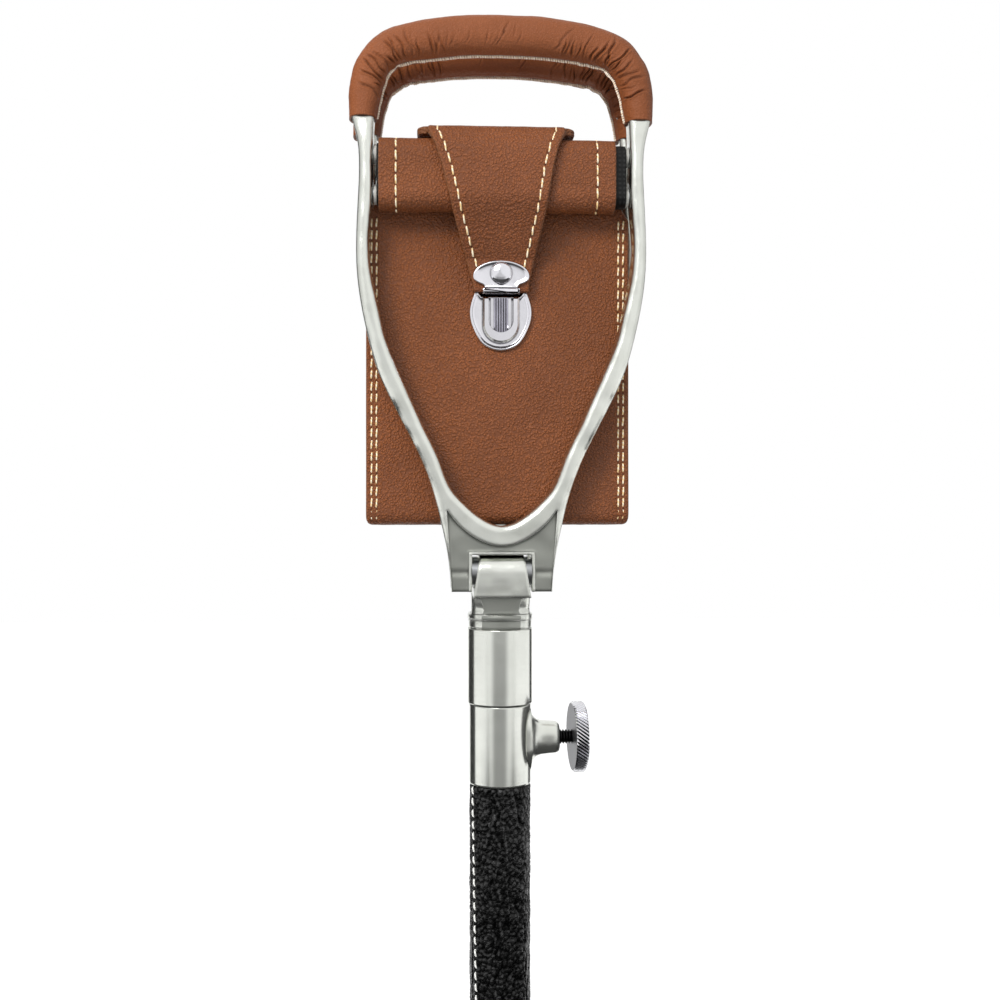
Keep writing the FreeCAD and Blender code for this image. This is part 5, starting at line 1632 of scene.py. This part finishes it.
@dataclass
class Clasp:
    """Chromed tuck clasp: shield with a raised rim, lobed hasp with a lip, and the domed rivet."""

    layout: Layout
    shield_y: float = -5.7
    # Half width and height above the pins, from the horn down to the point
    shield: Pairs = (
        (8.6, 119.4), (10.3, 122.3), (12.4, 118.2), (13.5, 112.6), (12.4, 106.6), (8.6, 99.4), (4.0, 96.5),
        (0.0, 95.8))
    # The same of the hasp's right half, from the top to its lower end
    hasp: Pairs = (
        (0.0, 134.3), (4.0, 133.9), (7.5, 132.8), (10.2, 131.2), (11.8, 129.2), (12.2, 127.2), (11.4, 125.4),
        (9.6, 124.3), (7.7, 123.5), (6.9, 122.2))
    # Inset and rise above the back of the rings of each plate, from the back to the front
    shield_rings: Pairs = (
        (0.0, 0.0), (0.0, 0.9), (0.12, 1.2), (0.4, 1.38), (0.8, 1.38), (1.1, 1.2), (1.3, 0.95), (2.2, 0.92))
    hasp_rings: Pairs = (
        (0.0, 0.0), (0.0, 0.75), (0.15, 1.05), (0.45, 1.2), (0.9, 1.15), (1.3, 0.8), (2.4, 0.72))
    lip_rings: Pairs = ((0.0, 0.0), (0.0, 1.2), (0.18, 1.55), (0.5, 1.75), (0.9, 1.8))
    rivet_rings: Pairs = (
        (0.1, 0.0), (0.0, 0.45), (0.25, 0.8), (0.8, 1.15), (1.7, 1.5), (2.8, 1.75), (3.8, 1.86), (4.5, 1.9))
    hasp_y: float = -10.4
    lip_top: float = 122.2
    lip_height: float = 2.4
    lip_half: float = 8.0
    rivet_radius: float = 4.7
    rivet_rise: float = 0.7
    rivet_around: int = 48

    def outline(self, side: Pairs, count: int) -> Array:
        """Closed outline of a plate from its right half.

        Args:
            side: Half widths and heights of the right half, which starts or ends on the centre line.
            count: Number of points for the half.

        Returns:
            Points as x and z, all the way round.
        """
        right = smooth_line([(w, self.layout.pivot + h) for w, h in side], count)
        left = right[::-1] * (-1, 1)
        return np.vstack([right, left[:-1] if side[0][0] == 0 else left[1:]])

    def plate(self, name: str, outline: Array, rings: Pairs, back: float, crease: float) -> Piece:
        """Builds a plate as rings of its outline, each drawn in and set forward.

        Args:
            name: Name of the piece.
            outline: Points of the outline.
            rings: Inset and rise of each ring, from the back to the front.
            back: Y of the plate's back.
            crease: Angle in degrees above which an edge stays sharp.

        Returns:
            The new object.
        """
        along = np.roll(outline, -1, axis=0) - np.roll(outline, 1, axis=0)
        along /= np.linalg.norm(along, axis=1, keepdims=True)
        inward = np.stack([-along[:, 1], along[:, 0]], axis=1)
        if ((outline.mean(axis=0) - outline) * inward).sum() < 0:
            inward = -inward
        layers = []
        for inset, rise in rings:
            flat = outline + inward * inset
            layers.append(np.stack([flat[:, 0], np.full(len(flat), back - rise), flat[:, 1]], axis=-1))
        grid = np.array(layers)
        return make_piece(name, grid, facing_out(grid, tube_faces(*grid.shape[:2])), CHROME.material(),
                          crease=crease)

    def build(self) -> None:
        """Builds the four chromed pieces."""
        outline = self.outline(self.shield, 44)
        shield = self.plate("clasp_shield", outline, self.shield_rings, self.shield_y, 70)
        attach(shield, "front_panel")
        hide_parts("clasp_plate")
        hasp = self.plate("hasp", self.outline(self.hasp, 40), self.hasp_rings, self.hasp_y, 70)
        half, top = self.lip_half, self.layout.pivot + self.lip_top
        bottom = top - self.lip_height
        corners = ((-half, bottom), (half, bottom), (half, top), (-half, top))
        bar = np.vstack([smooth_line([corners[k], corners[(k + 1) % 4]], 9)[:-1] for k in range(4)])
        lip = self.plate("hasp_lip", bar, self.lip_rings, self.hasp_y, 40)
        rivet = self.dome(self.hasp_y - self.rivet_rise)
        for piece in (hasp, lip, rivet):
            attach(piece, "strap_flap")
        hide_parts("hasp_plate")
        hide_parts("hasp_rivet")

    def dome(self, foot: float) -> Piece:
        """Builds the domed rivet.

        Args:
            foot: Y of its foot.

        Returns:
            The new object.
        """
        low, high = node_box("hasp_rivet")
        x, _, z = (low + high) / 2
        turn = full_turn(self.rivet_around)
        rings = []
        for inset, rise in self.rivet_rings:
            r = self.rivet_radius - inset
            rings.append(np.stack([x + r * np.cos(turn), np.full(len(turn), foot - rise),
                                   z + r * np.sin(turn)], -1))
        grid = np.array(rings)
        return make_piece("hasp_rivet_dome", grid, facing_out(grid, tube_faces(*grid.shape[:2])),
                          CHROME.material(), crease=60)


@dataclass
class Collar:
    """Clamp collar on top of the lower stick: a turned ring and its cast boss with a hollow flare."""

    radius: float = 13.65
    bore: float = 10.25
    seat_radius: float = 11.8
    seat: float = 10.3
    # Radius of both rims, and the short straight step that keeps their shading off the flat side
    edge: float = 0.7
    edge_step: float = 0.3
    screw_height: float = 19.4
    screw_turn: float = 3.0
    screw_bore: float = 3.15
    # Distance from the stick's axis at which the screw's hole starts, turns and ends
    hole: Sequence[float] = (26.0, 25.7, 10.4)
    around: int = 144
    # Distance from the stick's axis, half height and half depth of the boss's sections
    sections: Triples = (
        (10.4, 13.9, 8.4), (13.2, 13.9, 8.3), (13.35, 12.8, 8.1), (13.6, 11.9, 7.9), (14.0, 10.9, 7.6),
        (14.5, 9.9, 7.2), (15.2, 9.0, 6.8), (16.0, 8.3, 6.5), (16.9, 7.8, 6.3), (17.9, 7.5, 6.25),
        (19.4, 7.3, 6.2), (21.5, 7.1, 6.2), (24.2, 6.9, 6.15), (24.8, 6.8, 6.0), (25.4, 6.5, 5.7),
        (25.8, 6.0, 5.3), (26.0, 5.3, 4.7))
    squareness: float = 2.7

    def ring(self, bottom: float, top: float) -> Array:
        """Draws the turned ring.

        Args:
            bottom: Height of its lower face.
            top: Height of its upper face.

        Returns:
            Grid of its rings of points.
        """
        r, e = self.radius, self.edge
        rim = [(r - e + e * math.sin(a), e - e * math.cos(a)) for a in np.radians((0, 22, 45, 68, 90))]
        profile = [(self.seat_radius, bottom)] + [(x, bottom + z) for x, z in rim]
        profile += [(r, bottom + e + self.edge_step), (r, top - e - self.edge_step)]
        profile += [(x, top - z) for x, z in rim[::-1]]
        profile += [(self.bore, top), (self.bore, bottom + self.seat), (self.seat_radius, bottom + self.seat)]
        turn = full_turn(self.around)
        return np.array([np.stack([x * np.cos(turn), x * np.sin(turn), np.full(self.around, z)], -1)
                         for x, z in profile])

    def boss(self, bottom: float) -> Array:
        """Draws the cast boss with the screw's hole, turned a little to the front.

        Args:
            bottom: Height of the ring's lower face.

        Returns:
            Grid of its rings of points.
        """
        turn = full_turn(self.around)
        aside, up = squared_ring(turn, self.squareness)
        rings = [np.stack([np.full(self.around, x), d * aside, h * up], -1) for x, h, d in self.sections]
        hole = self.screw_bore * np.stack([np.cos(turn), np.sin(turn)], -1)
        rings += [np.column_stack([np.full(self.around, x), hole]) for x in self.hole]
        points = np.array(rings)
        lean = math.radians(self.screw_turn)
        x, y = points[..., 0].copy(), points[..., 1].copy()
        points[..., 0] = x * math.cos(lean) - y * math.sin(lean)
        points[..., 1] = x * math.sin(lean) + y * math.cos(lean)
        points[..., 2] += bottom + self.screw_height
        return points

    def build(self) -> None:
        """Builds the ring and the boss."""
        low, high = node_box("collar")
        ring = self.closed("collar_ring", self.ring(low[2], high[2]), TURNED_ALUMINIUM.material())
        boss = self.closed("collar_boss", self.boss(low[2]), CAST_ALUMINIUM.material())
        for piece in (ring, boss):
            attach(piece, "lower_stick")
        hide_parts("collar")

    def closed(self, name: str, grid: Array, material: Material) -> Piece:
        """Makes a piece from rings whose last one joins the first."""
        faces = grid_quads(*grid.shape[:2], wrap_rows=True, wrap_cols=True)
        return make_piece(name, grid, facing_out(grid, faces), material, crease=35)


@dataclass
class Hardware:
    """Rigid pieces whose solid has its final shape already and only gets its finish."""

    finishes: dict[Metal | Moulded, Sequence[str]] = field(default_factory=lambda: {
        CAST_ALUMINIUM: ("front_frame", "rear_frame", "head_casting", "ground_plate"),
        TURNED_ALUMINIUM: ("head_ferrule", "end_socket"),
        DRAWN_STEEL: ("outer_tube", "spike", "foot_washer", "head_cross_pin", "pivot_pins", "pivot_washers",
                      "front_cross_rods", "rear_cross_rods", "clasp_backing"),
        CHROME: ("inner_tube", "clasp_case"),
        SLIDER_CHROME: ("clasp_slider",),
        KNOB_STEEL: ("knob",),
        OXIDE_STEEL: ("screw_shank",),
        SPRING_STRIP: ("clasp_spring",),
        RUBBER: ("rubber_foot",),
        NYLON: ("clamp_pad", "guide_bush", "front_rod_bushes", "rear_rod_bushes")})

    def build(self) -> None:
        """Gives every rigid node its finish."""
        for finish, names in self.finishes.items():
            material = finish.material()
            for name in names:
                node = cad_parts[name]
                if not node.material_slots:
                    node.data.materials.append(material)
                for place in node.material_slots:
                    place.material = material
                LOG.info("%s: %s", name, finish.name)


@dataclass(frozen=True)
class Lamp:
    """A square soft lamp: its name, place in metres, side in metres and power in watts."""

    name: str
    place: Triple
    side: float
    power: float
    in_reflections: bool


def seen_rays(tree: Tree) -> tuple[Socket, Socket]:
    """Adds the nodes that tell the rays that see the background from those that light the object.

    Args:
        tree: Node tree of the floor or the world.

    Returns:
        1 for rays of the camera alone, and 1 for those in mirrors and glass too.
    """
    path = add_node(tree, "LightPath")
    seen = path.outputs["Is Camera Ray"]
    for kind in ("Is Glossy Ray", "Is Transmission Ray"):
        seen = add_node(tree, "Math", {0: seen, 1: path.outputs[kind]}, operation="MAXIMUM").outputs[0]
    return path.outputs["Is Camera Ray"], seen


@dataclass
class Studio:
    """White studio: pale floor, soft light all round, two lamps, graded and dark cards, the camera."""

    camera: Triple = (-27.6, -527.3, 657.7)
    camera_turn: float = -3.0
    lens: float = 43.2
    floor_side: float = 12.0
    floor_grey: float = 0.88
    floor_glow: float = 0.56
    # Strength of the world on the object and as it is seen, and what share is left at both sides
    ambient: float = 0.62
    seen: float = 1.0
    side_share: float = 0.76
    side_start: Pair = (0.66, 0.9)
    lamp_aim: Triple = (0.0, 0.0, 0.70)
    lamps: Sequence[Lamp] = (Lamp("key_lamp", (-0.95, -1.15, 1.7), 0.5, 23.0, False),
                             Lamp("sheen_softbox", (-0.5, -1.3, 1.75), 0.8, 9.0, True))
    # The card in front of the object: distance, half width, height and brightness outside the dark field
    card_distance: float = 1.7
    card_half: float = 2.4
    card_top: float = 2.6
    card_bright: float = 0.97
    # The dark field: x of its middle, heights over which it narrows and half width at both of them
    field_middle: float = -0.12
    field_heights: Pair = (0.42, 1.05)
    field_halves: Pair = (0.95, 0.16)
    # Share of the half width over which it fades out
    field_fade: Pair = (0.45, 1.25)
    # Its brightness at the lower and at the upper of two heights
    card_dark: Pair = (0.36, 0.68)
    dark_heights: Pair = (0.43, 0.52)
    # The bright stripe across it: height, half width and brightness
    stripe: Triple = (0.472, 0.03, 0.72)
    card_foot: float = 0.01
    mat_half: float = 1.85
    mat_back: float = 0.55
    # Side cards: x, nearer and farther y
    flags: Triples = ((-1.1, 0.32, 1.7), (1.2, 0.85, 1.9))
    flag_top: float = 2.0
    flag_grey: float = 0.06

    def build(self) -> None:
        """Builds the floor, the world, the lamps, the cards and the camera."""
        self.lay_floor()
        self.light_world()
        self.hang_lamps()
        self.front_card()
        self.side_cards()
        self.place_camera()
        bpy.context.scene.view_settings.view_transform = "Standard"

    def flat(self, name: str, corners: Triples, material: Material) -> Piece:
        """Adds one flat part of the studio.

        Args:
            name: Its name.
            corners: Its four corners in metres.
            material: Its finish.

        Returns:
            The new object.
        """
        mesh = bpy.data.meshes.new(name)
        mesh.from_pydata(corners, [], [(0, 1, 2, 3)])
        mesh.materials.append(material)
        part = bpy.data.objects.new(name, mesh)
        bpy.context.scene.collection.objects.link(part)
        return part

    def card(self, name: str, corners: Triples, material: Material) -> None:
        """Adds a card that shows in reflections alone, so that the even light and the white floor stay."""
        card = self.flat(name, corners, material)
        card.visible_camera = card.visible_diffuse = card.visible_shadow = False

    def lay_floor(self) -> None:
        """Lays the pale paper floor, which stays white to the eye but keeps the shadow."""
        side, grey = self.floor_side / 2, self.floor_grey
        material, tree, shader = new_material("white_studio_paper")
        glow = add_node(tree, "Math", {0: seen_rays(tree)[1], 1: self.floor_glow}, operation="MULTIPLY")
        set_inputs(shader, {"Base Color": (grey, grey, grey, 1.0), "Roughness": 0.9,
                            "Specular IOR Level": 0.1, "Emission Color": (1.0, 1.0, 1.0, 1.0),
                            "Emission Strength": glow})
        self.flat("floor", [(-side, -side, 0), (side, -side, 0), (side, side, 0), (-side, side, 0)], material)

    def light_world(self) -> None:
        """Lights the studio from all sides, a little less from the left and the right."""
        world = bpy.data.worlds.new("studio")
        world.use_nodes = True
        tree = world.node_tree
        by_camera, seen = seen_rays(tree)
        whole = add_node(tree, "MapRange", {0: seen, 1: 0.0, 2: 1.0, 3: self.ambient, 4: self.seen})
        heading = add_node(tree, "SeparateXYZ", {0: add_node(tree, "TexCoord").outputs["Generated"]})
        aside = add_node(tree, "Math", {0: heading.outputs[0]}, operation="ABSOLUTE")
        start, end = self.side_start
        dim = add_node(tree, "MapRange", {0: aside, 1: start, 2: end, 3: 1.0, 4: self.side_share},
                       interpolation_type="SMOOTHSTEP")
        dimmed = add_node(tree, "Math", {0: whole, 1: dim}, operation="MULTIPLY")
        strength = add_node(tree, "Mix", {0: by_camera, 2: dimmed, 3: self.seen}, data_type="FLOAT")
        set_inputs(tree.nodes["Background"], {"Strength": strength, "Color": (1.0, 1.0, 1.0, 1.0)})
        bpy.context.scene.world = world

    def hang_lamps(self) -> None:
        """Hangs the key lamp to the left, and a wide weak softbox for the sheen on leather."""
        for lamp in self.lamps:
            data = bpy.data.lights.new(lamp.name, "AREA")
            data.shape = "SQUARE"
            data.size = lamp.side
            data.energy = lamp.power
            light = bpy.data.objects.new(lamp.name, data)
            light.location = lamp.place
            aim = Vector(self.lamp_aim) - Vector(lamp.place)
            light.rotation_euler = aim.to_track_quat("-Z", "Y").to_euler()
            light.visible_glossy = lamp.in_reflections
            bpy.context.scene.collection.objects.link(light)

    def front_card(self) -> None:
        """Stands a graded card in front: dark round the camera, wide below and narrow above."""
        material, tree, shader = new_material("graded_card")
        at = add_node(tree, "SeparateXYZ", {0: add_node(tree, "TexCoord").outputs["Object"]})
        low, high = self.field_heights
        half = add_node(tree, "MapRange", {0: at.outputs[2], 1: low, 2: high, 3: self.field_halves[0],
                                           4: self.field_halves[1]})
        aside = add_node(tree, "Math", {0: at.outputs[0], 1: -self.field_middle}, operation="ADD")
        away = add_node(tree, "Math", {0: aside}, operation="ABSOLUTE")
        share = add_node(tree, "Math", {0: away, 1: half}, operation="DIVIDE")
        low, high = self.dark_heights
        dark = add_node(tree, "MapRange", {0: at.outputs[2], 1: low, 2: high, 3: self.card_dark[0],
                                           4: self.card_dark[1]})
        start, end = self.field_fade
        graded = add_node(tree, "MapRange", {0: share, 1: start, 2: end, 3: dark,
                                             4: self.card_bright}, interpolation_type="SMOOTHSTEP")
        height, half_width, bright = self.stripe
        stripe = add_node(tree, "Math", {0: at.outputs[2], 1: height, 2: half_width}, operation="COMPARE")
        striped = add_node(tree, "Math", {0: stripe, 1: bright}, operation="MULTIPLY")
        glow = add_node(tree, "Math", {0: graded, 1: striped}, operation="MAXIMUM")
        set_inputs(shader, {"Base Color": (0.0, 0.0, 0.0, 1.0), "Specular IOR Level": 0.0,
                            "Emission Color": (1.0, 1.0, 1.0, 1.0), "Emission Strength": glow})
        half, y, foot, top = self.card_half, -self.card_distance, self.card_foot, self.card_top
        self.card("graded_card", [(-half, y, foot), (half, y, foot), (half, y, top), (-half, y, top)],
                  material)

    def side_cards(self) -> None:
        """Stands dark cards at both sides for dark edges on metal, and lays a dark mat in front."""
        material, _, shader = new_material("dark_card")
        grey = self.flag_grey
        set_inputs(shader, {"Base Color": (grey, grey, grey, 1.0), "Specular IOR Level": 0.0})
        half, y, back = self.mat_half, -self.card_distance, self.mat_back
        foot, top = self.card_foot, self.flag_top
        self.card("dark_mat", [(-half, y, foot), (half, y, foot), (half, back, foot), (-half, back, foot)],
                  material)
        for number, (x, near, far) in enumerate(self.flags):
            self.card(f"dark_card_{number}", [(x, near, foot), (x, far, foot), (x, far, top), (x, near, top)],
                      material)

    def place_camera(self) -> None:
        """Sets the camera where the photograph was taken from."""
        data = bpy.data.cameras.new("camera")
        data.lens = self.lens
        data.clip_start = 0.01
        camera = bpy.data.objects.new("camera", data)
        camera.location = Vector(self.camera) * MM
        camera.rotation_euler = (math.radians(90), 0, math.radians(self.camera_turn))
        bpy.context.scene.collection.objects.link(camera)
        bpy.context.scene.camera = camera


def main() -> None:
    """Builds the studio and every sub-assembly."""
    logging.basicConfig(level=logging.INFO, format="%(message)s")
    Studio().build()
    layout = Layout.from_frame()
    Hardware().build()
    Collar().build()
    StickCover().build()
    for side in Side:
        Grip(layout, side).build()
    Roll(layout, Side.FRONT, -52.4, 48.6).build()
    Roll(layout, Side.REAR, -51.4, 51.4).build()
    Sling(layout).build()
    Strap(layout).build()
    Clasp(layout).build()
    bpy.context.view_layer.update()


if __name__ == "__main__":
    main()
